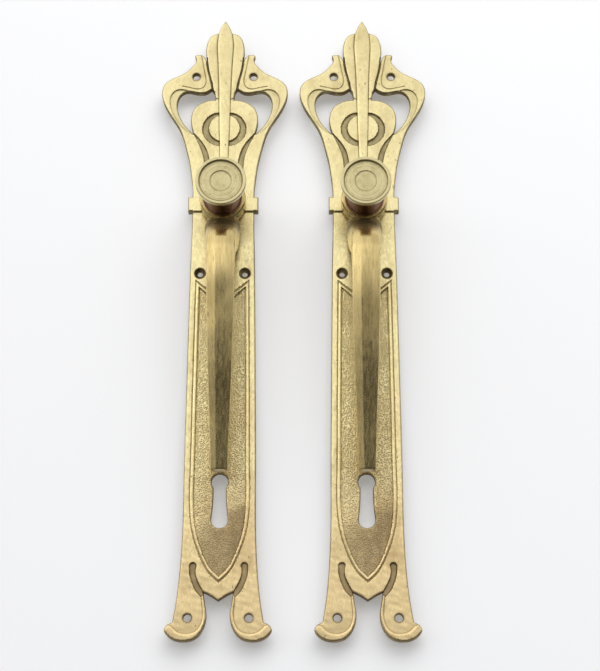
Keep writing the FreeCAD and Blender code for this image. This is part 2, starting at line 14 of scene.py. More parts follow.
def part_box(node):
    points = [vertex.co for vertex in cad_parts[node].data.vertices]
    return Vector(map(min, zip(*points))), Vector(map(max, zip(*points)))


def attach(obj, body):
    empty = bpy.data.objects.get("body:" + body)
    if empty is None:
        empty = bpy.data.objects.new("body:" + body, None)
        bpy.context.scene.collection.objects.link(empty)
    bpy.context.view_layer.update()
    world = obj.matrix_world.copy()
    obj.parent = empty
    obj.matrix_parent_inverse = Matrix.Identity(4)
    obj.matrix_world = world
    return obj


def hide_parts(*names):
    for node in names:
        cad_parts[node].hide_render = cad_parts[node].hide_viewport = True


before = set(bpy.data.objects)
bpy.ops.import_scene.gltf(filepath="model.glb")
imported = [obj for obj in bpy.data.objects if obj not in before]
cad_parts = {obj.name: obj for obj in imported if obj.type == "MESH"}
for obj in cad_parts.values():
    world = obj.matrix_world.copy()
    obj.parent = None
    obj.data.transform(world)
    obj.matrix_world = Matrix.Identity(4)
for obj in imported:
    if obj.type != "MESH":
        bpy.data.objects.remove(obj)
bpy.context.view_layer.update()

LOG = logging.getLogger("lever_pair")
MM = 0.001
Point = Tuple[float, float]
Run = Sequence[Point]


# ------------------------------------------------------------------ plane geometry


def smooth_run(points: Run, step: float = 0.5) -> np.ndarray:
    """Samples a smooth curve through the points, or a straight line through two.

    Args:
        points: The points that the curve passes, in millimetres.
        step: The spacing of the samples.

    Returns:
        The samples, both ends included, one row each.
    """
    spots = np.array(points, float)
    chord = np.r_[0.0, np.cumsum(np.linalg.norm(np.diff(spots, axis=0), axis=1))]
    count = max(2, int(math.ceil(chord[-1] / step)) + 1)
    at = np.linspace(0.0, chord[-1], count)
    size = len(spots)
    if size == 2:
        return spots[0] + (spots[1] - spots[0]) * (at / chord[-1])[:, None]
    gap = np.diff(chord)
    system = np.eye(size)
    pull = np.zeros_like(spots)
    for i in range(1, size - 1):
        system[i, i - 1 : i + 2] = gap[i - 1], 2 * (gap[i - 1] + gap[i]), gap[i]
        pull[i] = 6 * ((spots[i + 1] - spots[i]) / gap[i] - (spots[i] - spots[i - 1]) / gap[i - 1])
    bend = np.linalg.solve(system, pull)
    seg = np.clip(np.searchsorted(chord, at, side="right") - 1, 0, size - 2)
    width = gap[seg][:, None]
    right = ((at - chord[seg])[:, None]) / width
    left = 1 - right
    curve = left * spots[seg] + right * spots[seg + 1]
    return curve + width**2 / 6 * ((left**3 - left) * bend[seg] + (right**3 - right) * bend[seg + 1])


def closed_loop(runs: Sequence[Run], step: float = 0.5) -> np.ndarray:
    """Joins runs that follow one another into one closed outline, last point left out."""
    return np.vstack([smooth_run(run, step)[:-1] for run in runs])


def flip(points: Run) -> List[Point]:
    """The same points on the other side of the centre line, in reverse."""
    return [(-x, y) for x, y in reversed(list(points))]


def both_sides(runs: Sequence[Run]) -> List[Run]:
    """A right-hand outline from centre line to centre line, closed by its mirror."""
    return list(runs) + [flip(run) for run in reversed(list(runs))]


def round_loop(x: float, y: float, radius: float, count: int = 40) -> np.ndarray:
    """A circle's outline."""
    turn = np.linspace(0, 2 * math.pi, count, endpoint=False)
    return np.c_[x + radius * np.cos(turn), y + radius * np.sin(turn)]


def distance_to(points: np.ndarray, loop: np.ndarray, reach: float = 3.0) -> np.ndarray:
    """Distance from each point to a closed outline, up to a reach.

    Args:
        points: The points, one row each.
        loop: The outline's corners.
        reach: Distances above this are given as this.

    Returns:
        One distance for each point.
    """
    best = np.full(len(points), reach)
    ends = np.roll(loop, -1, axis=0)
    for first in range(0, len(loop), 24):
        a, b = loop[first : first + 24], ends[first : first + 24]
        low = np.minimum(a, b).min(0) - reach
        high = np.maximum(a, b).max(0) + reach
        near = np.nonzero(((points > low) & (points < high)).all(1))[0]
        if not len(near):
            continue
        line = b - a
        offset = points[near][:, None, :] - a[None]
        along = np.clip((offset * line).sum(2) / np.maximum((line * line).sum(1), 1e-12), 0, 1)
        gap = np.linalg.norm(offset - along[..., None] * line[None], axis=2).min(1)
        best[near] = np.minimum(best[near], gap)
    return best


def inside(points: np.ndarray, loop: np.ndarray) -> np.ndarray:
    """Whether each point lies inside a closed outline."""
    low, high = loop.min(0), loop.max(0)
    near = np.nonzero(((points >= low) & (points <= high)).all(1))[0]
    hit = np.zeros(len(points), bool)
    if not len(near):
        return hit
    x, y = points[near].T
    odd = np.zeros(len(near), bool)
    ends = np.roll(loop, -1, axis=0)
    for (ax, ay), (bx, by) in zip(loop, ends):
        if ay == by:
            continue
        crosses = (ay > y) != (by > y)
        odd ^= crosses & (x < (bx - ax) * (y - ay) / (by - ay) + ax)
    hit[near] = odd
    return hit


def signed(points: np.ndarray, loop: np.ndarray, reach: float = 3.0) -> np.ndarray:
    """Distance to an outline, positive inside it and negative outside."""
    gap = distance_to(points, loop, reach)
    return np.where(inside(points, loop), gap, -gap)


def step_up(gap: np.ndarray, half: float = 0.09) -> np.ndarray:
    """Smooth step from 0 outside to 1 inside, over a narrow band at the outline."""
    share = np.clip(0.5 + gap / (2 * half), 0, 1)
    return share * share * (3 - 2 * share)


def shoulder(gap: np.ndarray, radius: float) -> np.ndarray:
    """Quarter-round rise from 0 at the outline to 1 at a radius inside it."""
    share = 1 - np.clip(gap / radius, 0, 1)
    return np.sqrt(np.maximum(0.0, 1 - share * share))


def bell(gap: np.ndarray, width: float) -> np.ndarray:
    """Falls smoothly from 1 where the gap is 0 to nearly 0 two widths away."""
    return np.exp(-((gap / width) ** 2))


def offset_points(loop: np.ndarray, gaps: Sequence[float]) -> np.ndarray:
    """Points beside a closed outline at the given distances, on both signs of each."""
    tangent = np.roll(loop, -1, axis=0) - np.roll(loop, 1, axis=0)
    tangent /= np.maximum(np.linalg.norm(tangent, axis=1), 1e-9)[:, None]
    normal = np.c_[-tangent[:, 1], tangent[:, 0]]
    return np.vstack([loop + normal * gap for gap in gaps])


# ------------------------------------------------------------------ mesh building


def make_object(
    name: str,
    verts: np.ndarray,
    faces: Sequence[Sequence[int]],
    values: Optional[Dict[str, np.ndarray]] = None,
    sharp: float = 38.0,
) -> bpy.types.Object:
    """Makes a mesh object from millimetres, smooth with sharp edges kept.

    Args:
        name: The object's name.
        verts: Its points in millimetres.
        faces: Its faces as tuples of point numbers.
        values: Values kept on the points under their names, for the materials.
        sharp: Edges that turn more than this many degrees stay sharp.

    Returns:
        The object, linked into the scene.
    """
    mesh = bpy.data.meshes.new(name)
    mesh.from_pydata((np.asarray(verts, float) * MM).tolist(), [], [tuple(f) for f in faces])
    mesh.validate()
    shell = bmesh.new()
    shell.from_mesh(mesh)
    bmesh.ops.recalc_face_normals(shell, faces=shell.faces)
    shell.to_mesh(mesh)
    shell.free()
    mesh.update()
    mesh.shade_smooth()
    mesh.set_sharp_from_angle(angle=math.radians(sharp))
    for key, row in (values or {}).items():
        layer = mesh.attributes.new(key, "FLOAT", "POINT")
        layer.data.foreach_set("value", np.asarray(row, np.float32))
    piece = bpy.data.objects.new(name, mesh)
    bpy.context.scene.collection.objects.link(piece)
    return piece


def skin(rings: int, each: int, capped: bool = True) -> List[Tuple[int, ...]]:
    """Faces between rings of points that follow one another.

    Args:
        rings: How many rings there are.
        each: How many points each ring has.
        capped: Whether the first and last rings are closed with caps, or joined to each other.

    Returns:
        The faces as tuples of point numbers.
    """
    faces: List[Tuple[int, ...]] = []
    for i in range(rings - 1 if capped else rings):
        j = (i + 1) % rings
        for k in range(each):
            m = (k + 1) % each
            faces.append((i * each + k, i * each + m, j * each + m, j * each + k))
    if capped:
        faces.append(tuple(reversed(range(each))))
        faces.append(tuple((rings - 1) * each + k for k in range(each)))
    return faces


def lathe(
    profile: Sequence[Point], around: int = 128, capped: bool = False
) -> Tuple[np.ndarray, List[Tuple[int, ...]]]:
    """Turns a (radius, height) profile about the Y axis; height points to -Y.

    Args:
        profile: A closed ring of points, or with caps an open run of them.
        around: Points round the circle.
        capped: Whether the two ends are closed with flat caps.

    Returns:
        The points in millimetres and the faces.
    """
    turn = np.linspace(0, 2 * math.pi, around, endpoint=False)
    verts = np.array([(r * math.cos(a), -h, r * math.sin(a)) for r, h in profile for a in turn])
    return verts, skin(len(profile), around, capped)


def soften(profile: Sequence[Point], radius: float = 0.25, steps: int = 4) -> List[Point]:
    """Rounds every corner of a closed profile, by a radius that its sides allow."""
    spots = [np.array(p, float) for p in profile]
    out: List[Point] = []
    for i, here in enumerate(spots):
        before, after = spots[i - 1], spots[(i + 1) % len(spots)]
        to_before, to_after = before - here, after - here
        reach = min(radius, 0.4 * np.linalg.norm(to_before), 0.4 * np.linalg.norm(to_after))
        one = here + to_before / np.linalg.norm(to_before) * reach
        two = here + to_after / np.linalg.norm(to_after) * reach
        for s in np.linspace(0, 1, steps):
            spot = (1 - s) ** 2 * one + 2 * s * (1 - s) * here + s * s * two
            out.append((float(spot[0]), float(spot[1])))
    return out


def wander(points: np.ndarray, reach: float, size: float, seed: int) -> np.ndarray:
    """Slow, seeded unevenness over points: a sum of a few waves in random directions."""
    rng = np.random.default_rng(seed)
    total = np.zeros(len(points))
    for _ in range(9):
        way = rng.normal(size=points.shape[1])
        way *= 2 * math.pi / (size * rng.uniform(0.6, 2.0)) / np.linalg.norm(way)
        total += np.sin(points @ way + rng.uniform(0, 2 * math.pi))
    return total * reach / 3.0


def joined(parts: Sequence[Tuple[np.ndarray, Sequence[Sequence[int]]]]) -> Tuple[np.ndarray, list]:
    """Several sets of points and faces as one."""
    verts, faces, start = [], [], 0
    for spots, rows in parts:
        verts.append(spots)
        faces += [tuple(v + start for v in row) for row in rows]
        start += len(spots)
    return np.vstack(verts), faces


# ------------------------------------------------------------------ finishes


class Side(Enum):
    """The two halves, by the name that their pieces start with."""

    LEFT = "left"
    RIGHT = "right"

    @property
    def fixed(self) -> str:
        """The body of the pieces that stay on the door."""
        return "root" if self is Side.LEFT else "right_half"

    @property
    def turning(self) -> str:
        """The body of the pieces that turn with the lever."""
        return f"{self.value}_handle"


@dataclass(frozen=True)
class Place:
    """Where one CAD node stands: axis across, back and front heights and half-width, in millimetres."""

    axis: float
    back: float
    front: float
    radius: float

    @classmethod
    def of(cls, node: str) -> "Place":
        """Reads a node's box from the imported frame."""
        low, high = (np.array(tuple(corner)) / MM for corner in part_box(node))
        return cls(
            float(low[0] + high[0]) / 2, -float(high[1]), -float(low[1]), float(high[0] - low[0]) / 2
        )


def stand(piece: bpy.types.Object, node: str, body: str) -> bpy.types.Object:
    """Puts a finished piece on its body, in the place of its CAD node."""
    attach(piece, body)
    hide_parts(node)
    LOG.info("%s: %d points, %d faces", piece.name, len(piece.data.vertices), len(piece.data.polygons))
    return piece


def socket_pair(
    group: bpy.types.ShaderNodeTree, name: str, kind: str, way: str, value: object = None
) -> None:
    """Adds one named socket to a node group, with its default."""
    made = group.interface.new_socket(name=name, in_out=way, socket_type=kind)
    if value is not None:
        made.default_value = value


class Nodes:
    """Short calls for placing and joining the nodes of one tree."""

    def __init__(self, tree: bpy.types.NodeTree) -> None:
        """Keeps the tree that the nodes go in."""
        self.tree = tree

    def add(self, kind: str, **values: object) -> bpy.types.Node:
        """Adds a node and sets its properties."""
        node = self.tree.nodes.new(kind)
        for key, value in values.items():
            setattr(node, key, value)
        return node

    def link(self, source: bpy.types.NodeSocket, target: bpy.types.NodeSocket) -> None:
        """Joins an output to an input."""
        self.tree.links.new(source, target)

    def math(
        self, operation: str, one: object, two: object = 0.0, clamp: bool = False
    ) -> bpy.types.NodeSocket:
        """One sum on sockets or numbers."""
        node = self.add("ShaderNodeMath", operation=operation, use_clamp=clamp)
        for slot, value in zip(node.inputs, (one, two)):
            if isinstance(value, bpy.types.NodeSocket):
                self.link(value, slot)
            else:
                slot.default_value = value
        return node.outputs[0]

    def spread(
        self, value: bpy.types.NodeSocket, low: float, high: float, to_low: float = 0.0,
        to_high: float = 1.0
    ) -> bpy.types.NodeSocket:
        """Maps one range onto another, smoothly and held at its ends."""
        node = self.add("ShaderNodeMapRange", interpolation_type="SMOOTHSTEP")
        self.link(value, node.inputs["Value"])
        for key, number in zip(
            ("From Min", "From Max", "To Min", "To Max"), (low, high, to_low, to_high)
        ):
            node.inputs[key].default_value = number
        return node.outputs["Result"]

    def mix(self, share: object, one: object, two: object) -> bpy.types.NodeSocket:
        """Mixes two colours by a share."""
        node = self.add("ShaderNodeMix", data_type="RGBA")
        for slot, value in zip((node.inputs[0], node.inputs[6], node.inputs[7]), (share, one, two)):
            if isinstance(value, bpy.types.NodeSocket):
                self.link(value, slot)
            else:
                slot.default_value = value
        return node.outputs[2]

    def tint(
        self, one: bpy.types.NodeSocket, two: Tuple[float, float, float, float]
    ) -> bpy.types.NodeSocket:
        """A colour multiplied by another."""
        node = self.add("ShaderNodeMix", data_type="RGBA", blend_type="MULTIPLY")
        node.inputs[0].default_value = 1.0
        self.link(one, node.inputs[6])
        node.inputs[7].default_value = two
        return node.outputs[2]

    def times(self, one: object, two: object, clamp: bool = False) -> bpy.types.NodeSocket:
        """Two values multiplied."""
        return self.math("MULTIPLY", one, two, clamp)

    def plus(self, one: object, two: object, clamp: bool = False) -> bpy.types.NodeSocket:
        """Two values added."""
        return self.math("ADD", one, two, clamp)

    def kept(self, name: str) -> bpy.types.NodeSocket:
        """A value kept on the mesh's points."""
        return self.add("ShaderNodeAttribute", attribute_name=name).outputs["Fac"]

    def noise(
        self, where: bpy.types.NodeSocket, scale: object, detail: float = 4.0, rough: float = 0.55
    ) -> bpy.types.NodeSocket:
        """Fractal noise at a scale."""
        node = self.add("ShaderNodeTexNoise")
        self.link(where, node.inputs["Vector"])
        if isinstance(scale, bpy.types.NodeSocket):
            self.link(scale, node.inputs["Scale"])
        else:
            node.inputs["Scale"].default_value = scale
        node.inputs["Detail"].default_value = detail
        node.inputs["Roughness"].default_value = rough
        return node.outputs["Fac"]


def new_group(
    name: str, inputs: Sequence[Tuple[str, str, object]], outputs: Sequence[Tuple[str, str]]
) -> Tuple[Nodes, bpy.types.Node, bpy.types.Node]:
    """Makes an empty shader node group with its sockets.

    Args:
        name: The group's name.
        inputs: Name, socket type and default of each input.
        outputs: Name and socket type of each output.

    Returns:
        The group's nodes, its input node and its output node.
    """
    tree = bpy.data.node_groups.new(name, "ShaderNodeTree")
    for label, kind, value in inputs:
        socket_pair(tree, label, kind, "INPUT", value)
    for label, kind in outputs:
        socket_pair(tree, label, kind, "OUTPUT")
    nodes = Nodes(tree)
    return nodes, nodes.add("NodeGroupInput"), nodes.add("NodeGroupOutput")


FLOAT, COLOR, VECTOR = "NodeSocketFloat", "NodeSocketColor", "NodeSocketVector"


def aged_metal_group() -> bpy.types.ShaderNodeTree:
    """Brass that was polished once: clouds of tarnish, darkening from the recess values (soiling in
    hollows, and painted shade where a piece puts it there), bright rubbed edges.

    Returns:
        The node group.
    """
    nodes, source, target = new_group(
        "Aged metal",
        [("Position", VECTOR, None), ("Bright", COLOR, (0.9, 0.8, 0.5, 1)),
         ("Tarnish", COLOR, (0.5, 0.4, 0.2, 1)), ("Dark colour", COLOR, (0.1, 0.07, 0.03, 1)),
         ("Recess", FLOAT, 0.0), ("Rub", FLOAT, 0.0),
         ("Cloud", FLOAT, 60.0), ("Amount", FLOAT, 0.5)],
        [("Color", COLOR), ("Roughness", FLOAT), ("Height", FLOAT), ("Dark share", FLOAT)],
    )
    where = source.outputs["Position"]
    cloud = nodes.spread(nodes.noise(where, source.outputs["Cloud"], 5.0, 0.6), 0.38, 0.72)
    fine = nodes.noise(where, 900.0, 3.0, 0.6)
    specks = nodes.spread(nodes.noise(where, 700.0, 1.0, 0.4), 0.735, 0.79)
    broad = nodes.spread(
        nodes.noise(where, nodes.times(source.outputs["Cloud"], 3.4), 4.0, 0.7), 0.45, 0.7
    )
    cloud = nodes.plus(nodes.times(cloud, 0.6), nodes.times(broad, 0.55))
    stain = nodes.times(cloud, source.outputs["Amount"], True)
    stain = nodes.plus(stain, nodes.times(nodes.spread(fine, 0.45, 0.75), 0.16), True)
    stain = nodes.math("SUBTRACT", stain, source.outputs["Rub"], True)
    color = nodes.mix(stain, source.outputs["Bright"], source.outputs["Tarnish"])
    # The recess values darken the colour: soiling in hollows, and painted shade where a piece puts it
    # there, as at the lever's root and along the plate's raised edges. The dark specks are soiling.
    patchy = nodes.times(
        source.outputs["Recess"], nodes.spread(nodes.noise(where, 240.0, 4.0, 0.6), 0.2, 0.6, 0.62, 1.0)
    )
    dark_share = nodes.math("MAXIMUM", patchy, nodes.times(specks, 0.55), True)
    nodes.link(nodes.mix(dark_share, color, source.outputs["Dark colour"]), target.inputs["Color"])
    rough = nodes.plus(nodes.spread(fine, 0.3, 0.7, 0.30, 0.40), nodes.times(stain, 0.10))
    nodes.link(nodes.plus(rough, nodes.times(dark_share, 0.30), True), target.inputs["Roughness"])
    bumps = nodes.plus(nodes.times(fine, 0.35), nodes.times(nodes.noise(where, 260.0, 2.0), 0.65))
    nodes.link(nodes.math("SUBTRACT", bumps, nodes.times(specks, 0.8)), target.inputs["Height"])
    nodes.link(dark_share, target.inputs["Dark share"])
    return nodes.tree


def punch_group() -> bpy.types.ShaderNodeTree:
    """Close rows of small punched dents, on the sunk ground only.

    Returns:
        The node group.
    """
    nodes, source, target = new_group(
        "Punched ground", [("Position", VECTOR, None), ("Pitch", FLOAT, 1250.0), ("Mask", FLOAT, 0.0)],
        [("Height", FLOAT), ("Shade", FLOAT)],
    )
    cell = nodes.add("ShaderNodeTexVoronoi", feature="F1")
    nodes.link(source.outputs["Position"], cell.inputs["Vector"])
    nodes.link(source.outputs["Pitch"], cell.inputs["Scale"])
    cell.inputs["Randomness"].default_value = 0.85
    dent = nodes.spread(cell.outputs["Distance"], 0.12, 0.62)
    nodes.link(nodes.times(dent, source.outputs["Mask"]), target.inputs["Height"])
    deep = nodes.math("SUBTRACT", 1.0, dent)
    nodes.link(nodes.times(deep, source.outputs["Mask"]), target.inputs["Shade"])
    return nodes.tree


def turned_group() -> bpy.types.ShaderNodeTree:
    """Fine rings left by the lathe, from each point's distance to the axis and its height.

    Returns:
        The node group.
    """
    nodes, source, target = new_group(
        "Turning marks", [("Along", FLOAT, 0.0), ("Pitch", FLOAT, 4.0)],
        [("Height", FLOAT), ("Shade", FLOAT)],
    )
    fine = nodes.add("ShaderNodeTexNoise", noise_dimensions="1D")
    nodes.link(nodes.times(source.outputs["Along"], source.outputs["Pitch"]), fine.inputs["W"])
    fine.inputs["Scale"].default_value = 1.0
    fine.inputs["Detail"].default_value = 3.0
    nodes.link(fine.outputs["Fac"], target.inputs["Height"])
    nodes.link(nodes.spread(fine.outputs["Fac"], 0.35, 0.65), target.inputs["Shade"])
    return nodes.tree


@dataclass(frozen=True)
class Finish:
    """Colours and surface of one metal, as it goes on a piece."""

    name: str
    bright: Tuple[float, float, float]
    tarnish: Tuple[float, float, float]
    # The colour that the recess values darken towards: soiling, and painted shade where a piece puts it
    # there.
    darkening: Tuple[float, float, float]
    cloud: float = 60.0
    amount: float = 0.5
    rough: float = 0.0
    bump: float = 0.25
    punched: bool = False
    turned: bool = False
    grain: Tuple[float, float, float] = (1.0, 1.0, 1.0)

    def material(self, groups: Dict[str, bpy.types.ShaderNodeTree]) -> bpy.types.Material:
        """Builds the material from the shared groups.

        Args:
            groups: The shared node groups by name.

        Returns:
            The material.
        """
        made = bpy.data.materials.new(self.name)
        made.use_nodes = True
        nodes = Nodes(made.node_tree)
        shader = made.node_tree.nodes["Principled BSDF"]
        where = nodes.add("ShaderNodeTexCoord").outputs["Object"]
        aged = nodes.add("ShaderNodeGroup", node_tree=groups["aged"])
        drawn = nodes.add("ShaderNodeMapping")
        drawn.inputs["Scale"].default_value = self.grain
        nodes.link(where, drawn.inputs["Vector"])
        nodes.link(drawn.outputs["Vector"], aged.inputs["Position"])
        for key, value in (("Bright", self.bright), ("Tarnish", self.tarnish), ("Dark colour", self.darkening)):
            aged.inputs[key].default_value = (*value, 1.0)
        aged.inputs["Cloud"].default_value = self.cloud
        aged.inputs["Amount"].default_value = self.amount
        for key, name in (("Recess", "recess"), ("Rub", "rub")):
            nodes.link(nodes.kept(name), aged.inputs[key])
        color, height = aged.outputs["Color"], nodes.times(aged.outputs["Height"], 0.5)
        rough = nodes.plus(aged.outputs["Roughness"], self.rough)
        if self.punched:
            punch = nodes.add("ShaderNodeGroup", node_tree=groups["punch"])
            nodes.link(where, punch.inputs["Position"])
            nodes.link(nodes.kept("ground"), punch.inputs["Mask"])
            dark = nodes.times(punch.outputs["Shade"], 0.36)
            color = nodes.mix(dark, color, (*self.darkening, 1.0))
            height = nodes.plus(height, nodes.times(punch.outputs["Height"], 3.0))
            warm = nodes.kept("warm")
            color = nodes.mix(nodes.times(warm, 0.75), color, nodes.tint(color, (1.0, 0.86, 0.84, 1.0)))
        if self.turned:
            marks = nodes.add("ShaderNodeGroup", node_tree=groups["turned"])
            nodes.link(nodes.kept("ring"), marks.inputs["Along"])
            color = nodes.mix(nodes.times(marks.outputs["Shade"], 0.22), color, (*self.tarnish, 1.0))
            height = nodes.plus(height, nodes.times(marks.outputs["Height"], 0.8))
        bump = nodes.add("ShaderNodeBump")
        bump.inputs["Strength"].default_value = self.bump
        bump.inputs["Distance"].default_value = 0.0003
        nodes.link(height, bump.inputs["Height"])
        nodes.link(bump.outputs["Normal"], shader.inputs["Normal"])
        nodes.link(color, shader.inputs["Base Color"])
        nodes.link(rough, shader.inputs["Roughness"])
        metal = nodes.math("SUBTRACT", 1.0, nodes.times(aged.outputs["Dark share"], 0.35), True)
        nodes.link(metal, shader.inputs["Metallic"])
        return made


class Workshop:
    """The shared node groups and the finishes made from them, each built once."""

    CAST = Finish(
        "Cast brass", (0.92, 0.80, 0.43), (0.62, 0.48, 0.22), (0.14, 0.095, 0.04), 45.0, 0.6, -0.05, 0.22,
        punched=True, grain=(1.0, 1.0, 0.55)
    )
    LEVER = Finish(
        "Handled brass", (0.72, 0.565, 0.255), (0.50, 0.35, 0.13), (0.13, 0.09, 0.035), 90.0, 0.7, -0.12,
        0.09, grain=(1.0, 1.0, 0.14)
    )
    TURNED = Finish(
        "Turned brass", (0.74, 0.65, 0.36), (0.55, 0.46, 0.23), (0.14, 0.10, 0.045), 120.0, 0.8, 0.0,
        0.16, turned=True
    )
    COLLAR = Finish(
        "Tarnished collar", (0.36, 0.19, 0.11), (0.20, 0.10, 0.06), (0.05, 0.03, 0.018), 150.0, 0.8, 0.05,
        0.25, turned=True
    )
    RED = Finish(
        "Reddish sleeve", (0.34, 0.18, 0.10), (0.20, 0.10, 0.055), (0.04, 0.02, 0.012), 110.0, 0.6, -0.05,
        0.2, turned=True
    )
    BEARING = Finish(
        "Bearing bronze", (0.62, 0.46, 0.26), (0.40, 0.28, 0.14), (0.08, 0.05, 0.02), 120.0, 0.5, 0.05,
        0.2, turned=True
    )
    STEEL = Finish(
        "Machined steel", (0.55, 0.55, 0.54), (0.36, 0.34, 0.31), (0.12, 0.07, 0.04), 130.0, 0.5, 0.0,
        0.25, turned=True
    )

    def __init__(self) -> None:
        """Builds the groups and an empty store of materials."""
        self.groups = {"aged": aged_metal_group(), "punch": punch_group(), "turned": turned_group()}
        self.made: Dict[str, bpy.types.Material] = {}

    def dress(self, piece: bpy.types.Object, finish: Finish) -> None:
        """Gives a piece its finish."""
        if finish.name not in self.made:
            self.made[finish.name] = finish.material(self.groups)
        piece.data.materials.clear()
        piece.data.materials.append(self.made[finish.name])


# ------------------------------------------------------------------ back-plate

FOOT_NOTCH = (7.9, 4.6)
RING_OUTER = (2.3, 46.6, 10.3)
RING_INNER = (0.7, 47.2, 8.2)
OUTLINE_BANDS = (-0.8, -0.4, -0.15, 0.15, 0.4, 0.8)
HOLE_BANDS = (-0.7, -0.3, -0.12, 0.12, 0.3, 0.7)
RELIEF_BANDS = (-0.32, -0.1, 0.1, 0.32)
FOOT_SCROLL = [
    FOOT_NOTCH, (6.9, -2.2), (6.2, -7.3), (7.8, -14.8), (11.9, -19.9), (17.4, -21.5), (22.9, -20.8),
    (27.1, -18.0), (28.5, -15.4), (26.9, -12.5)
]
LIP_INSIDE = [
    (8.9, 3.4), (8.5, -2.6), (8.1, -8.1), (9.7, -13.6), (13.3, -16.7), (17.4, -17.3), (21.5, -16.2),
    (24.6, -13.2)
]
CROWN_SIDE = [
    (17.4, 1.0), (17.5, 6.5), (18.3, 15.9), (19.8, 26.2), (21.9, 35.1), (25.0, 45.0), (30.1, 53.8),
    (35.2, 63.6), (36.3, 69.4), (35.2, 74.2), (30.5, 78.3), (22.7, 82.4), (17.6, 87.6)
]
EAR_HOOK = [(17.6, 87.6), (16.9, 90.4), (17.5, 92.6), (14.5, 93.5), (10.7, 89.6)]
LOBE_SIDE = [(10.7, 89.6), (11.2, 95.5), (10.4, 101.4), (7.9, 105.6), (3.9, 107.2)]
TIP_SIDE = [(3.9, 107.2), (2.2, 111.6), (0.0, 115.0)]
RIB_SIDE = [
    (2.0, 13.0), (2.4, 31.0), (3.0, 52.0), (3.3, 65.0), (3.7, 79.0), (4.3, 91.5), (4.6, 100.0),
    (3.9, 107.2)
]
EYE_OPENING = [
    [
        (7.4, 71.6), (10.5, 69.6), (14.5, 69.0), (19.0, 69.9), (22.6, 69.9), (25.8, 67.3), (27.3, 62.5),
        (26.2, 56.0), (22.3, 48.8), (17.6, 43.6)
    ],
    [(17.6, 43.6), (19.0, 49.0), (19.2, 54.0), (17.4, 59.4), (12.9, 63.1), (8.4, 64.6), (5.3, 64.8)],
    [(5.3, 64.8), (5.9, 69.4)],
    [(5.9, 69.4), (7.4, 71.6)],
]
CRESCENT = [
    [
        (19.6, 69.9), (24.0, 71.3), (28.3, 70.6), (31.2, 66.6), (31.1, 61.0), (27.9, 53.0), (22.6, 46.4),
        (17.9, 43.3)
    ],
    [(17.9, 43.3), (21.0, 57.0)],
    [(21.0, 57.0), (19.6, 69.9)],
]
CROWN_GROOVE = [
    [(17.8, 43.9), (13.6, 35.0), (11.4, 27.0), (11.0, 20.0)],
    [(11.0, 20.0), (9.3, 18.2), (7.7, 20.0)],
    [(7.7, 20.0), (8.2, 27.0), (10.5, 35.0), (17.2, 43.9)],
    [(17.2, 43.9), (17.8, 43.9)],
]
EAR_GROOVE = [
    [(11.3, 91.2), (10.4, 84.0), (8.7, 76.8), (7.3, 69.6)],
    [(7.3, 69.6), (6.1, 69.2)],
    [(6.1, 69.2), (7.6, 76.8), (9.2, 83.4), (10.2, 91.2)],
    [(10.2, 91.2), (11.3, 91.2)],
]
EAR_LINE = [
    [
        (14.0, 92.6), (13.3, 89.0), (12.4, 84.0), (11.5, 79.5), (11.3, 75.6), (12.6, 72.9), (15.6, 71.9),
        (19.6, 72.6), (24.6, 73.6)
    ],
    [(24.6, 73.6), (24.6, 73.3)],
    [
        (24.6, 73.3), (19.6, 72.2), (15.6, 71.4), (12.3, 72.5), (10.8, 75.4), (11.0, 79.6), (11.9, 84.1),
        (12.8, 89.1), (13.6, 92.7)
    ],
    [(13.6, 92.7), (14.0, 92.6)],
]
LOBE_INSIDE = [
    [(3.9, 107.2), (4.6, 100.0), (4.3, 91.5), (3.7, 79.0), (3.3, 65.0)],
    [(3.3, 65.0), (5.6, 66.0)],
    [(5.6, 66.0), (7.0, 73.0), (8.8, 80.0), (9.9, 85.0), (10.7, 89.6)],
]
FOOT_GROOVE = [
    [(9.3, 2.2), (12.2, 5.5), (14.3, 10.1), (15.5, 14.3), (15.75, 18.6)],
    [(15.75, 18.6), (15.1, 20.1), (13.8, 20.6), (12.4, 20.1), (11.8, 18.8), (12.2, 17.4)],
    [(12.2, 17.4), (12.3, 15.2), (11.0, 10.6), (9.0, 6.8), (7.0, 3.6)],
    [(7.0, 3.6), (9.3, 2.2)],
]


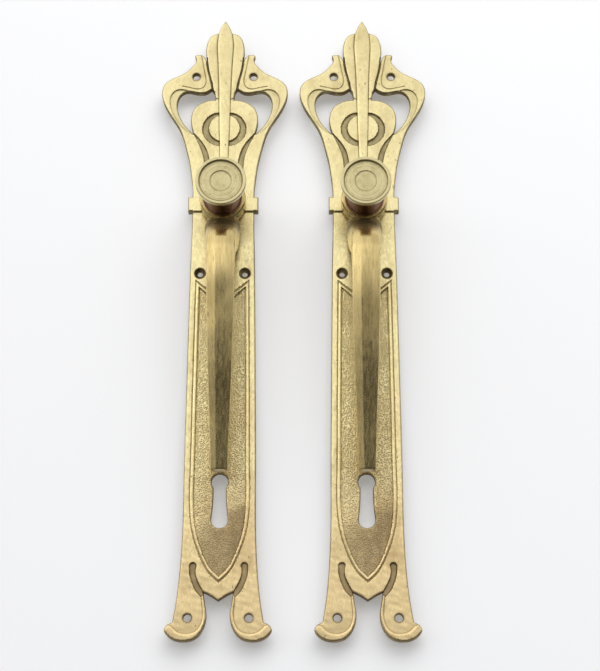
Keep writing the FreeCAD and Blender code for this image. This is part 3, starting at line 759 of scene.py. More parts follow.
@dataclass
class BackPlate:
    """The cast plate of one half: outline, openings and the relief of its front."""

    side: Side
    axis: float
    thick: float = 4.0
    shank_top: float = 17.5
    shank_low: float = 19.5
    foot_half: float = 28.5
    keyhole_drop: float = 159.8
    shield_drop: float = 224.4
    strap_half: float = 19.8
    strap_high: float = 4.3
    strap_thick: float = 5.6
    margin: float = 3.2
    bead: float = 2.3
    frame_line: float = 0.55
    field_sunk: float = 1.3
    rim_round: float = 0.75
    middle_drop: float = 41.0
    hub_radius: float = 12.05
    grid: float = 0.62
    holes: List[Tuple[float, float, float, float]] = field(default_factory=lambda: [
        (16.5, 79.35, 2.1, 0.3), (12.5, -41.0, 1.6, 0.0), (16.3, -233.4, 2.15, 0.3)])

    def foot(self, points: Run) -> List[Point]:
        """Foot points, given from the shield's point, in the half's frame."""
        return [(x, y - self.shield_drop) for x, y in points]

    def shank_half(self, down: float) -> float:
        """Half-width of the shank at a share of the way from hub to keyhole."""
        return self.shank_top + (self.shank_low - self.shank_top) * max(0.0, (down - 0.08) / 0.88) ** 0.7

    def outline(self) -> np.ndarray:
        """The whole outline, strap ends included."""
        drop, low = self.keyhole_drop, self.shank_low
        notch = self.foot([FOOT_NOTCH])[0]
        scroll = self.foot(FOOT_SCROLL)
        flare = self.foot_half - low
        edge = [
            (low + flare * part, up - self.shield_drop)
            for part, up in ((0.522, -11.2), (0.356, -2.2), (0.178, 11.7), (0.06, 28.4))
        ]
        side = [(self.shank_half(down), -drop * down) for down in (0.96, 0.75, 0.53, 0.31, 0.18, 0.08)]
        lip, high, wide = self.strap_half, self.strap_high, self.shank_top
        return closed_loop(both_sides([
            [(0.0, -self.shield_drop), (notch[0] * 0.47, 2.4 - self.shield_drop), notch],
            scroll, [scroll[-1], edge[0]], edge + side,
            [side[-1], (wide, -high)], [(wide, -high), (lip, -high)], [(lip, -high), (lip, high)],
            [(lip, high), (wide, high)], [(wide, high)] + CROWN_SIDE[1:],
            EAR_HOOK, LOBE_SIDE, TIP_SIDE,
        ]))

    def panel(self, inset: float) -> np.ndarray:
        """Outline of the framed panel, set in from its outer line."""
        margin = self.margin + inset
        top = -self.middle_drop - 3.7 - inset * 1.9
        downs = (-top / self.keyhole_drop, 0.45, 0.62, 0.8, 0.96)
        side = [(self.shank_half(down) - margin, -self.keyhole_drop * down) for down in downs]
        tip = 9.6 + inset * 1.45 - self.shield_drop
        rise = 44.4 - self.shield_drop - tip
        half = side[-1][0]
        side += [
            (half * part, tip + rise * up)
            for part, up in (
                (0.975, 1.0), (0.9, 0.78), (0.765, 0.56), (0.57, 0.335), (0.32, 0.14), (0.0, 0.0)
            )
        ]
        brow = [(0.0, top - 9.6), (side[0][0] * 0.55, top - 5.2), side[0]]
        return closed_loop([brow, side, flip(side), flip(brow)], 0.6)

    def keyhole(self) -> np.ndarray:
        """Outline of the keyhole."""
        centre, radius, waist, flare = -self.keyhole_drop, 4.5, 3.4, 4.4
        neck = centre - math.sqrt(radius**2 - waist**2)
        start = math.atan2(neck - centre, waist)
        top = [
            (radius * math.cos(a), centre + radius * math.sin(a))
            for a in np.linspace(start, math.pi / 2, 9)
        ]
        foot_at = centre + radius - 29.7
        side = [
            (waist, neck), (waist, neck - 4.0), (flare * 0.97, foot_at + 6.5), (flare, foot_at + 4.0),
            (flare * 0.7, foot_at + 1.1), (0.0, foot_at)
        ]
        return closed_loop([side, flip(side), flip(top)[::-1], top[::-1]], 0.4)

    def loops(self) -> List[np.ndarray]:
        """The outline first, then every hole through the plate."""
        opening = closed_loop(EYE_OPENING)
        found = [
            self.outline(), opening, opening * (-1, 1), self.keyhole(),
            round_loop(0, 0, self.hub_radius, 90)
        ]
        for x, y, radius, _ in self.holes:
            found += [round_loop(x, y, radius, 26), round_loop(-x, y, radius, 26)]
        return found

    def details(self) -> Dict[str, np.ndarray]:
        """Right-hand outlines of the relief on the front."""
        step = 0.45
        inner = list(reversed(LIP_INSIDE))
        lip = [FOOT_SCROLL, [FOOT_SCROLL[-1], inner[0]], inner, [inner[-1], FOOT_SCROLL[0]]]
        wide, high = self.strap_half + 1, self.strap_high
        corners = [(-wide, -high), (wide, -high), (wide, high), (-wide, high)]
        strap = [[here, after] for here, after in zip(corners, corners[1:] + corners[:1])]
        return {
            "rib": closed_loop(both_sides([RIB_SIDE, TIP_SIDE]) + [[(-2.0, 13.0), (2.0, 13.0)]], step),
            "lobe": closed_loop([LOBE_SIDE] + LOBE_INSIDE, step),
            "crescent": closed_loop(CRESCENT, step),
            "crown_groove": closed_loop(CROWN_GROOVE, step),
            "ear_groove": closed_loop(EAR_GROOVE, step),
            "ear_line": closed_loop(EAR_LINE, step),
            "foot_groove": closed_loop([self.foot(run) for run in FOOT_GROOVE], step),
            "lip": closed_loop([self.foot(run) for run in lip], step),
            "ring_out": round_loop(*RING_OUTER, 70),
            "ring_in": round_loop(*RING_INNER, 70),
            "strap": closed_loop(strap, step),
            "frame": self.panel(0.0),
            "bead": self.panel(self.frame_line),
            "field": self.panel(self.bead),
        }

    def front(self, points: np.ndarray) -> Dict[str, np.ndarray]:
        """Height of the front and the values that its finish reads.

        Args:
            points: Points of the plate, (across, up) in millimetres.

        Returns:
            Rows named height, recess, rub, ground and warm.
        """
        folded = np.c_[np.abs(points[:, 0]), points[:, 1]]
        gap = {name: signed(folded, loop) for name, loop in self.details().items()}
        level = self.thick
        height = np.full(len(points), level)
        recess = np.zeros(len(points))
        rub = np.zeros(len(points))
        rib, lobe = gap["rib"], gap["lobe"]
        height += step_up(lobe, 0.12) * 0.32 * shoulder(lobe, 2.0)
        height += step_up(rib, 0.12) * (0.25 + 0.5 * shoulder(rib, 1.5) + 0.15 * np.clip(rib / 4.0, 0, 1))
        height -= 0.2 * bell(rib, 0.2)
        crest = np.minimum(np.minimum(gap["ring_out"], -gap["ring_in"]), -rib)
        grooves = (
            (crest, 1.2, 0.9), (gap["crown_groove"], 1.3, 0.9), (gap["ear_groove"], 1.3, 1.0),
            (gap["foot_groove"], 1.35, 0.95), (gap["crescent"], 0.95, 0.22), (gap["ear_line"], 0.3, 0.45),
        )
        lip = gap["lip"]
        height += step_up(lip, 0.14) * (0.2 + 0.4 * shoulder(lip, 1.1))
        for sunk, depth, darkening in grooves:
            floor = level - depth
            height += (floor - height) * step_up(sunk, 0.12)
            walls = 0.6 + 0.6 * bell(sunk, 0.45)
            recess = np.maximum(recess, darkening * walls * step_up(sunk, 0.2))
        ridge = np.minimum(gap["frame"], -gap["bead"])
        height -= 0.42 * step_up(ridge, 0.14)
        width = self.bead - self.frame_line
        across = np.clip(gap["bead"] / width, 0, 1)
        on_bead = step_up(gap["bead"], 0.05) * (1 - step_up(gap["field"], 0.05))
        height += on_bead * (0.16 * np.sin(math.pi * across) - 0.08)
        field = gap["field"]
        height += (level - self.field_sunk - height) * step_up(field, 0.14)
        recess = np.maximum(recess, 0.55 * step_up(ridge, 0.1))
        # The sunk field darkens towards its bottom and its right-hand side, and along the inside of its
        # edge.
        low = np.clip((-165.0 - points[:, 1] + 14.0 * wander(points, 1.0, 30.0, 9)) / 34.0, 0, 1)
        lower_field_darkening = 0.02 + 0.42 * low * low * (3 - 2 * low) + 0.12 * np.clip(points[:, 0] / 14.0, 0, 1)
        recess = np.maximum(recess, (lower_field_darkening + 0.4 * bell(field, 0.4)) * step_up(field, 0.1))
        strap = gap["strap"]
        height += (self.strap_thick - 0.25 + 0.25 * shoulder(strap, 0.4) - height) * step_up(strap, 0.08)
        # Painted shadow, with some soiling: a thin dark line just outside the rib, lobe, lip and strap,
        # where their raised edges meet the plate, and just outside the crescent groove.
        for edge in (rib, lobe, lip, strap, gap["crescent"]):
            recess = np.maximum(recess, 0.6 * bell(edge + 0.12, 0.22))
        for edge in (rib, lip, strap, gap["bead"]):
            rub = np.maximum(rub, 0.35 * bell(edge - 0.5, 0.4))
        rim = 3.0 * np.ones(len(points))
        for loop in self.loops()[:4]:
            rim = np.minimum(rim, distance_to(points, loop, 3.0))
        height -= self.rim_round * (1 - shoulder(rim, self.rim_round))
        recess = np.maximum(recess, 0.95 * bell(rim, 0.45))
        recess = np.maximum(recess, 0.7 * bell(points[:, 1] - 115.0, 1.8))
        rub = np.maximum(rub, 0.3 * bell(rim - 0.9, 0.5))
        rub = np.maximum(rub, 0.38 * bell(points[:, 1] + 8.0, 30.0) * (1 - step_up(field, 0.1)))
        rub = np.maximum(rub, 0.38 * np.clip((-205.0 - points[:, 1]) / 15.0, 0, 1))
        for x, y, radius, round_over in self.holes:
            reach = np.hypot(folded[:, 0] - x, points[:, 1] - y)
            if round_over:
                height -= round_over * (1 - shoulder(np.clip(reach - radius, 0, None), round_over))
                recess = np.maximum(recess, bell(reach - radius, 0.6))
            else:
                height = np.minimum(height, np.maximum(level - (3.2 - reach), level - 1.7))
                recess = np.maximum(recess, step_up(3.3 - reach, 0.2))
        height += wander(points, 0.045, 24.0, 5) + wander(points, 0.012, 5.0, 6)
        warm = np.clip((-120.0 - points[:, 1]) / 90.0 + wander(points, 0.25, 45.0, 14), 0, 1)
        return {
            "height": height, "recess": np.clip(recess, 0, 1), "rub": rub, "ground": step_up(field, 0.3),
            "warm": warm
        }

    def pattern(self) -> Tuple[np.ndarray, List[Tuple[int, ...]], Dict[str, np.ndarray]]:
        """Mesh of the whole plate before it is put on its axis.

        Returns:
            The points in millimetres, the faces and the values on the points.
        """
        loops = self.loops()
        marks = [offset_points(loops[0], OUTLINE_BANDS)]
        marks += [offset_points(loop, HOLE_BANDS) for loop in loops[1:]]
        for loop in self.details().values():
            beside = offset_points(loop, RELIEF_BANDS)
            marks.append(beside)
            marks.append(beside * (-1, 1))
        for x, y, radius, _ in self.holes:
            marks += [
                round_loop(side * x, y, radius + more, 30) for side in (-1, 1)
                for more in (0.8, 1.5, 1.75)
            ]
        low, high = loops[0].min(0), loops[0].max(0)
        rows = np.arange(low[1], high[1], self.grid * 0.866)
        grid = [
            np.c_[
                np.arange(low[0], high[0], self.grid) + (i % 2) * self.grid / 2,
                np.full(len(np.arange(low[0], high[0], self.grid)), y)
            ]
            for i, y in enumerate(rows)
        ]
        spots = np.vstack(marks + grid)
        keep = inside(spots, loops[0])
        clear = np.full(len(spots), 3.0)
        for index, loop in enumerate(loops):
            if index:
                keep &= ~inside(spots, loop)
            clear = np.minimum(clear, distance_to(spots, loop, 1.0))
        spots = spots[keep & (clear > 0.09)]
        _, first = np.unique(np.round(spots / 0.16).astype(int), axis=0, return_index=True)
        spots = spots[np.sort(first)]
        edges, start = [], 0
        for loop in loops:
            edges += [(start + i, start + (i + 1) % len(loop)) for i in range(len(loop))]
            start += len(loop)
        rim_points = np.vstack(loops)
        front_2d, front_faces = self.triangles(np.vstack([rim_points, spots]), edges, loops)
        coarse = np.vstack(
            [np.c_[np.full(len(rows[::7]), x), rows[::7]] for x in np.arange(low[0] + 1, high[0], 4.0)]
        )
        sound = inside(coarse, loops[0]) & (distance_to(coarse, loops[0], 1.0) > 0.5)
        for loop in loops[1:]:
            sound &= ~inside(coarse, loop) & (distance_to(coarse, loop, 1.0) > 0.5)
        back_2d, back_faces = self.triangles(np.vstack([rim_points, coarse[sound]]), edges, loops)
        made = self.front(front_2d)
        total = len(front_2d)
        back = np.c_[back_2d[:, 0], np.zeros(len(back_2d)), back_2d[:, 1]]
        verts = np.vstack([np.c_[front_2d[:, 0], -made["height"], front_2d[:, 1]], back])
        faces = [tuple(f) for f in front_faces]
        faces += [tuple(v + total for v in reversed(f)) for f in back_faces]
        wall = total + len(back_2d)
        rim_count = len(rim_points)
        middle = np.c_[
            rim_points[:, 0], -np.maximum(0.35, made["height"][:rim_count] * 0.5), rim_points[:, 1]
        ]
        verts = np.vstack([verts, middle])
        turned = {(f[i], f[(i + 1) % 3]) for f in front_faces for i in range(3)}
        for a, b in edges:
            if (a, b) not in turned:
                a, b = b, a
            faces += [(b, a, wall + a, wall + b), (wall + b, wall + a, total + a, total + b)]
        rest = len(verts) - total
        beyond = {"warm": 0.0, "recess": 0.85, "rub": 0.0, "ground": 0.0}
        values = {key: np.r_[made[key], np.full(rest, level)] for key, level in beyond.items()}
        return verts, faces, values

    @staticmethod
    def triangles(
        points: np.ndarray, edges: Sequence[Tuple[int, int]], loops: Sequence[np.ndarray]
    ) -> Tuple[np.ndarray, List[Tuple[int, int, int]]]:
        """Triangles between points, with the loops' edges kept and their outside left out."""
        spots, _, faces, origin, _, _ = delaunay_2d_cdt(
            [Vector(p) for p in points], list(edges), [], 0, 1e-7
        )
        if len(spots) != len(points) or any(row[0] != i for i, row in enumerate(origin) if row):
            LOG.info("triangulation changed its points: %d to %d", len(points), len(spots))
        flat = np.array([tuple(p) for p in spots])
        corners = np.array([f for f in faces if len(f) == 3])
        centre = flat[corners].mean(1)
        keep = inside(centre, loops[0])
        for loop in loops[1:]:
            keep &= ~inside(centre, loop)
        return flat, [tuple(int(v) for v in f) for f in corners[keep]]

    def build(
        self, pattern: Tuple[np.ndarray, list, Dict[str, np.ndarray]], shop: "Workshop"
    ) -> bpy.types.Object:
        """Puts the plate on its axis, with this half's own unevenness, and dresses it."""
        verts, faces, values = pattern
        verts = verts.copy()
        front = verts[:, 1] < -0.5
        verts[front, 1] += wander(
            verts[front][:, [0, 2]], 0.02, 40.0, 11 if self.side is Side.LEFT else 12
        )
        verts[:, 0] += self.axis
        piece = make_object(f"{self.side.value}_cast_plate", verts, faces, values, 42.0)
        shop.dress(piece, Workshop.CAST)
        return piece


# ------------------------------------------------------------------ turned pieces


@dataclass
class Turning:
    """A piece turned about a half's axis from a closed profile of (radius, height) corners."""

    name: str
    axis: float
    profile: Run
    finish: Finish
    slot: str
    corner: float = 0.25
    around: int = 128
    wave: float = 0.0
    gap_degrees: float = 0.0
    dark_share: float = 1.1
    capped: bool = False

    def corners(self) -> Tuple[List[Point], np.ndarray, np.ndarray]:
        """Rounded profile, with how hollow and how exposed each of its points is."""
        spots = np.array(self.profile, float)
        before, after = np.roll(spots, 1, axis=0) - spots, np.roll(spots, -1, axis=0) - spots
        cross = before[:, 0] * after[:, 1] - before[:, 1] * after[:, 0]
        area = np.sum(spots[:, 0] * np.roll(spots[:, 1], -1) - np.roll(spots[:, 0], -1) * spots[:, 1])
        bend = cross * np.sign(area) / np.maximum(
            np.linalg.norm(before, axis=1) * np.linalg.norm(after, axis=1), 1e-9
        )
        steps = 5
        hollow = np.repeat(np.clip(bend * self.dark_share, 0, 1), steps)
        exposed = np.repeat(np.clip(-bend * 0.5, 0, 0.4), steps)
        ring = soften(self.profile, self.corner, steps)
        if self.capped:
            return ring[
                steps - 1 : -steps + 1
            ], hollow[steps - 1 : -steps + 1], exposed[steps - 1 : -steps + 1]
        return ring, hollow, exposed

    def build(self, shop: Workshop) -> bpy.types.Object:
        """Builds and dresses the piece.

        Args:
            shop: Where the finish comes from.

        Returns:
            The piece, on its axis.
        """
        ring, hollow, exposed = self.corners()
        filled, darkening, wear = [], [], []
        for i, here in enumerate(ring):
            after = ring[(i + 1) % len(ring)]
            if self.capped and i == len(ring) - 1:
                after = here
            length = math.dist(here, after)
            parts = max(1, min(14, int(length / 0.7)))
            for part in range(parts):
                share = part / parts
                filled.append(
                    (here[0] + (after[0] - here[0]) * share, here[1] + (after[1] - here[1]) * share)
                )
                near = math.exp(-((min(share, 1 - share) * length / 0.35) ** 2))
                other = (i + 1) % len(ring)
                darkening.append(near * (hollow[i] if share < 0.5 else hollow[other]))
                wear.append(near * (exposed[i] if share < 0.5 else exposed[other]))
        verts, faces = lathe(filled, self.around, self.capped)
        along = np.r_[0.0, np.cumsum([math.dist(a, b) for a, b in zip(filled, filled[1:])])]
        turn = np.tile(np.linspace(0, 2 * math.pi, self.around, endpoint=False), len(filled))
        verts[:, 1] -= self.wave * np.sin(3 * turn)
        if self.gap_degrees:
            verts, faces = self.opened(verts, faces, len(filled))
        verts[:, 0] += self.axis
        each = self.around
        values = {
            "ring": np.repeat(along, each), "recess": np.repeat(darkening, each), "rub": np.repeat(wear, each)
        }
        piece = make_object(self.name, verts, faces, values, 34.0)
        shop.dress(piece, self.finish)
        return piece

    def opened(self, verts: np.ndarray, faces: list, count: int) -> Tuple[np.ndarray, list]:
        """The same ring drawn together round its circle, with two flat ends at a gap on top."""
        each = self.around
        index = np.tile(np.arange(each), count)
        reach = np.hypot(verts[:, 0], verts[:, 2])
        half = math.radians(self.gap_degrees / 2)
        turn = math.pi / 2 + half + index / (each - 1) * (2 * math.pi - 2 * half)
        verts = np.c_[reach * np.cos(turn), verts[:, 1], reach * np.sin(turn)]
        faces = [face for face in faces if not {v % each for v in face} == {0, each - 1}]
        faces.append(tuple(i * each for i in range(count)))
        faces.append(tuple(i * each + each - 1 for i in reversed(range(count))))
        return verts, faces


@dataclass
class Bearing:
    """Bush, washers and ring that hold one lever in its plate."""

    side: Side
    bore: float = 7.05
    journal: float = 7.0
    ring_inner: float = 6.2
    wave: float = 0.2
    spring: float = 0.36

    def turnings(self) -> Dict[str, Turning]:
        """The five pieces under their nodes' names."""
        name = self.side.value
        bush, thrust, wave, washer, clip = (Place.of(f"{name}_{node}") for node in (
            "guide_bush", "thrust_washer", "wave_washer", "retaining_washer", "retaining_ring"))
        middle = (wave.back + wave.front) / 2

        def flat(inner: float, place: Place, back: float, front: float) -> Run:
            """A plain ring's four corners."""
            return [(inner, back), (place.radius, back), (place.radius, front), (inner, front)]

        bushing = [
            (self.bore, bush.back + 0.6), (self.bore + 0.6, bush.back), (bush.radius - 0.4, bush.back),
            (bush.radius, bush.back + 0.4),
            (bush.radius, bush.front - 0.3), (bush.radius - 0.3, bush.front),
            (self.bore + 2.2, bush.front), (self.bore + 2.0, bush.front - 0.3),
            (self.bore + 1.5, bush.front - 0.3), (self.bore + 1.3, bush.front),
            (self.bore + 0.4, bush.front), (self.bore, bush.front - 0.4),
        ]
        bronze, steel = Workshop.BEARING, Workshop.STEEL
        return {
            "guide_bush": Turning(
                f"{name}_bearing_bush", bush.axis, bushing, bronze, "bearing_bronze", 0.1
            ),
            "thrust_washer": Turning(
                f"{name}_thin_thrust_washer", thrust.axis,
                flat(self.bore, thrust, thrust.back, thrust.front), bronze, "bearing_bronze", 0.12
            ),
            "wave_washer": Turning(
                f"{name}_waved_spring", wave.axis,
                flat(self.bore + 0.1, wave, middle - self.spring / 2, middle + self.spring / 2), steel,
                "steel", 0.08, wave=self.wave
            ),
            "retaining_washer": Turning(
                f"{name}_plain_washer", washer.axis,
                flat(self.journal, washer, washer.back, washer.front), steel, "steel", 0.2
            ),
            "retaining_ring": Turning(
                f"{name}_snap_ring", clip.axis, flat(self.ring_inner, clip, clip.back, clip.front), steel,
                "steel", 0.18, gap_degrees=26.0
            ),
        }

    def build(self, shop: Workshop) -> None:
        """Builds the five pieces and puts each on its body."""
        for node, turning in self.turnings().items():
            body = self.side.turning if node.startswith("retaining") else self.side.fixed
            stand(turning.build(shop), f"{self.side.value}_{node}", body)


@dataclass
class Knob:
    """Collar, sleeve and end disc on the lever's stud."""

    side: Side
    stud: float = 4.0
    rim: float = 1.75
    sink: float = 1.3
    dish: float = 6.2
    waist: float = 0.55

    def turnings(self) -> Dict[str, Turning]:
        """The three pieces under their nodes' names."""
        name = self.side.value
        collar, neck, disc = (
            Place.of(f"{name}_{node}") for node in ("collar_ring", "neck_sleeve", "end_disc")
        )
        centre, stud = collar.axis, self.stud
        wide, low, high = collar.radius, collar.back, collar.front
        collar_profile = [
            (stud, low), (wide - 0.5, low), (wide, low + 0.5), (wide, high - 0.55), (wide - 0.5, high),
            (neck.radius + 0.25, high), (neck.radius + 0.1, high - 0.25), (stud, high - 0.25),
        ]
        body = neck.radius - 0.3
        tall = neck.front - neck.back
        waist = [
            (body - self.waist * math.sin(math.pi * share) ** 0.8, neck.back + 0.9 + (tall - 1.8) * share)
            for share in np.linspace(0, 1, 15)
        ]
        neck_profile = [
            (stud, neck.back - 0.2), (neck.radius, neck.back - 0.2), (neck.radius, neck.back + 0.45),
            *waist,
            (neck.radius, neck.front - 0.45), (neck.radius, neck.front + 0.1), (stud, neck.front + 0.1),
        ]
        rim, top = disc.radius, disc.front
        face = top - self.sink
        lines: List[Point] = []
        for radius in (rim - 3.4, rim - 5.4):
            lines += [(radius + 0.3, face + 0.12), (radius, face + 0.07), (radius - 0.3, face + 0.12)]
        disc_profile = [
            (stud - 0.1, top - 1.49), (stud + 0.05, top - 1.49), (stud + 0.05, disc.back),
            (neck.radius + 0.2, disc.back),
            (rim - 1.5, disc.back + 1.1), (rim, disc.back + 2.8), (rim, top - 0.4),
            (rim - 0.4, top), (rim - self.rim, top), (rim - self.rim - 0.45, face),
            (rim - self.rim - 1.2, face + 0.12), *lines,
            (self.dish + 0.3, face + 0.14), (self.dish, face + 0.1), (self.dish - 0.22, top - 1.4),
            (self.dish - 1.2, top - 1.36), (0.5, top - 1.33), (0.3, top - 1.33),
        ]
        turned = Workshop.TURNED
        return {
            "collar_ring": Turning(
                f"{name}_turned_collar", centre, collar_profile, Workshop.COLLAR, "turned_brass", 0.22
            ),
            "neck_sleeve": Turning(
                f"{name}_waisted_sleeve", centre, neck_profile, Workshop.RED, "red_brass", 0.12
            ),
            "end_disc": Turning(
                f"{name}_turned_end_disc", centre, disc_profile, turned, "turned_brass", 0.14, 160,
                dark_share=0.55, capped=True
            ),
        }

    def build(self, shop: Workshop) -> None:
        """Builds the three pieces; all turn with the lever."""
        for node, turning in self.turnings().items():
            stand(turning.build(shop), f"{self.side.value}_{node}", self.side.turning)


# ------------------------------------------------------------------ lever

ARM_ROOT = [
    (0.5, -0.03, 0.0, 0.95, 1.02), (0.9, -0.012, 0.0, 0.97, 1.18), (1.12, 0.14, 0.0, 0.98, 1.26),
    (1.5, 0.5, 0.005, 1.0, 1.28), (1.92, 0.82, 0.05, 1.01, 1.22), (2.35, 0.97, 0.3, 1.01, 1.1),
    (2.95, 0.985, 0.7, 1.0, 1.0),
]
ARM_GRIP = [
    (0.085, 0.065, 0.03), (0.27, 0.23, 0.12), (0.52, 0.48, 0.4), (0.78, 0.79, 0.75), (0.93, 0.935, 0.94),
    (1.0, 1.0, 1.0)
]


@dataclass
class Lever:
    """One lever: three-sided grip, swan neck, eye, journal with its square socket, and stud."""

    side: Side
    eye: float = 13.0
    eye_back: float = 6.15
    eye_front: float = 15.0
    reach: float = 156.0
    wide: float = 7.8
    slim: float = 4.6
    thick: float = 10.8
    thin: float = 6.6
    shoulder_front: float = 34.2
    tip_front: float = 17.2
    journal: float = 7.0
    groove: float = 6.2
    stud: float = 4.0
    stud_end: float = 40.0
    socket: float = 4.1
    socket_depth: float = 12.9
    around: int = 128
    corner_points: int = 5
    band_share: float = 0.36
    edge_round: float = 0.42
    end_round: float = 0.6
    neck_soft: float = 1.5
    neck_at: float = 20.0
    neck_span: float = 11.0
    # Where and how wide the painted shade lies on the lever's root, with some soiling: the shade that
    # falls under the collar and sleeve.
    root_shade_and_dirt_at: float = 3.0
    root_shade_and_dirt_span: float = 6.5

    def stations(self) -> np.ndarray:
        """Rows of drop, front, rear, half-width, skirt and heel along the arm, closely spaced."""
        rows = []
        back = self.eye_back + 0.1
        top, low = self.shoulder_front, self.tip_front
        for share, rise, lift, facet, skirt in ARM_ROOT:
            rows.append(
                (
                    self.eye * share, self.eye_front + (top - self.eye_front) * rise,
                    back + (top - self.thick - back) * lift, self.wide * facet, self.wide * skirt
                )
            )
        start = rows[-1][0]
        for share, fall, taper in ARM_GRIP:
            front = top + (low - top) * fall
            half = self.wide + (self.slim - self.wide) * taper
            depth = self.thick + (self.thin - self.thick) * share
            rows.append((start + (self.reach - start) * share, front, front - depth, half, half))
        table = np.array(rows)
        heel = np.where(table[:, 4] > table[:, 3] + 1e-6, 0.97, 0.62)
        table = np.c_[table, heel]
        chord = np.r_[0.0, np.cumsum(np.linalg.norm(np.diff(table[:, :2], axis=0), axis=1))]
        at = np.r_[np.arange(0.0, chord[-1], 0.9), chord[-1]]
        smooth = smooth_run(table[:, :5], 0.9)
        place = np.r_[0.0, np.cumsum(np.linalg.norm(np.diff(smooth[:, :2], axis=0), axis=1))]
        fine = np.array([np.interp(at * place[-1] / chord[-1], place, smooth[:, i]) for i in range(5)]).T
        return np.c_[fine, np.interp(fine[:, 0], table[:, 0], heel)]

    def section(self, row: np.ndarray) -> List[Point]:
        """Eight-cornered section, softest at the neck, with its flats divided."""
        drop, front, rear, half, skirt, heel = row
        worn = self.neck_soft * math.exp(-(((drop - self.neck_at) / self.neck_span) ** 2))
        band = half * self.band_share
        bevel = min(half * 0.3, (front - rear) * 0.3)
        middle = rear + (front - bevel - rear) * 0.45
        right = [(band, front), (half, front - bevel), (skirt, middle), (skirt * heel, rear)]
        corners = right + [(-x, height) for x, height in reversed(right)]
        ring = soften(corners, self.edge_round + worn, self.corner_points)
        out: List[Point] = []
        for i, here in enumerate(ring):
            out.append(here)
            if i % self.corner_points == self.corner_points - 1:
                after = ring[(i + 1) % len(ring)]
                out += [
                    (here[0] + (after[0] - here[0]) * part, here[1] + (after[1] - here[1]) * part)
                    for part in (0.12, 0.36, 0.64, 0.88)
                ]
        return out

    def arm(self) -> Tuple[np.ndarray, list, np.ndarray, np.ndarray]:
        """Mesh of the arm, with its wear, a darker strip along its rear faces, and painted shade with
        some soiling at its root.
        """
        rows = self.stations()
        rings, darkening, wear = [], [], []
        last = rows[-1, 0]
        tail = [
            (last - self.end_round * (1 - math.sin(a)), math.cos(a))
            for a in np.linspace(0, math.pi / 2, 7)
        ]
        body = [(row, 1.0) for row in rows if row[0] < last - self.end_round - 0.4]
        for drop, share in tail:
            row = np.array([np.interp(drop, rows[:, 0], rows[:, i]) for i in range(6)])
            body.append((row, 0.84 + 0.16 * share))
        for row, share in body:
            drop, front, rear, half = row[:4]
            ring = np.array(self.section(row))
            middle = np.array([0.0, (front + rear) / 2])
            ring = middle + (ring - middle) * share
            rings.append(np.c_[ring[:, 0], -ring[:, 1], np.full(len(ring), -drop)])
            along = max(0.0, (drop - self.eye * 2.9) / (self.reach - self.eye * 2.9))
            edge = bell(np.abs(ring[:, 0]) - half * self.band_share, 0.9) * (ring[:, 1] > front - 0.8)
            side = bell(np.abs(ring[:, 0]) - half, 0.6) * (ring[:, 1] > rear + 2)
            wear.append(0.22 * edge + 0.16 * side + 0.3 * along)
            # Painted shade with some soiling: the root is darkened where it runs under the collar and
            # sleeve.
            low = bell(drop - self.eye - self.root_shade_and_dirt_at, self.root_shade_and_dirt_span) * 1.1
            # The faces along the rear, next to the plate, are darkened as well.
            hollow = np.where(ring[:, 1] < rear + 1.2, 0.35, 0.0)
            darkening.append(np.clip(low + hollow, 0, 1))
        verts = np.vstack(rings)
        faces = skin(len(rings), len(rings[0]))
        outward = np.c_[np.sign(verts[:, 0]), np.zeros(len(verts)), np.zeros(len(verts))]
        seed = 21 if self.side is Side.LEFT else 22
        verts = verts + outward * wander(verts, 0.03, 16.0, seed)[:, None]
        verts[:, 1] += wander(verts, 0.05, 22.0, seed + 4)
        return verts, faces, np.concatenate(darkening), np.concatenate(wear)

    def hub(self) -> Tuple[np.ndarray, list, np.ndarray, np.ndarray]:
        """Mesh of the eye, the journal with ring groove and square socket, and the stud."""
        name = self.side.value
        tail = Place.of(f"{name}_lever").back
        clip = Place.of(f"{name}_retaining_ring")
        eye, journal, stud = self.eye, self.journal, self.stud
        outer = soften([
            (0.0, tail), (journal - 0.5, tail), (journal, tail + 0.5), (journal, clip.back),
            (self.groove, clip.back), (self.groove, clip.front),
            (journal, clip.front), (journal, self.eye_back), (eye - 0.5, self.eye_back),
            (eye, self.eye_back + 0.5), (eye, self.eye_front - 0.9),
            (eye - 0.9, self.eye_front), (stud, self.eye_front), (stud, self.stud_end - 0.1),
            (stud - 0.1, self.stud_end), (0.0, self.stud_end),
        ], 0.18, 4)[4:-4]
        turn = np.linspace(0, 2 * math.pi, self.around, endpoint=False)
        reach = self.socket / np.maximum(np.abs(np.cos(turn)), np.abs(np.sin(turn)))
        square = np.c_[reach * np.cos(turn), np.zeros(self.around), reach * np.sin(turn)]
        rings = [
            square + (0, -(self.socket_depth), 0), square + (0, -(tail + 0.35), 0),
            square * (1.07, 1, 1.07) + (0, -tail, 0)
        ]
        rings += [np.c_[r * np.cos(turn), np.full(self.around, -h), r * np.sin(turn)] for r, h in outer]
        each = self.around
        faces = skin(len(rings), each)

        def hollow(r: float, h: float) -> bool:
            """Whether a point lies in the ring's groove or along the stud."""
            return r < self.groove + 0.3 and h < 2 or abs(r - stud) < 0.3 and h < self.stud_end - 1

        darkening = [0.9, 0.7, 0.5] + [0.75 if hollow(r, h) else 0.12 for r, h in outer]
        wear = [0.0, 0.0, 0.2] + [
            0.25 if abs(r - eye) < 0.9 and h > self.eye_front - 1 else 0.0 for r, h in outer
        ]
        return np.vstack(rings), faces, np.repeat(darkening, each), np.repeat(wear, each)

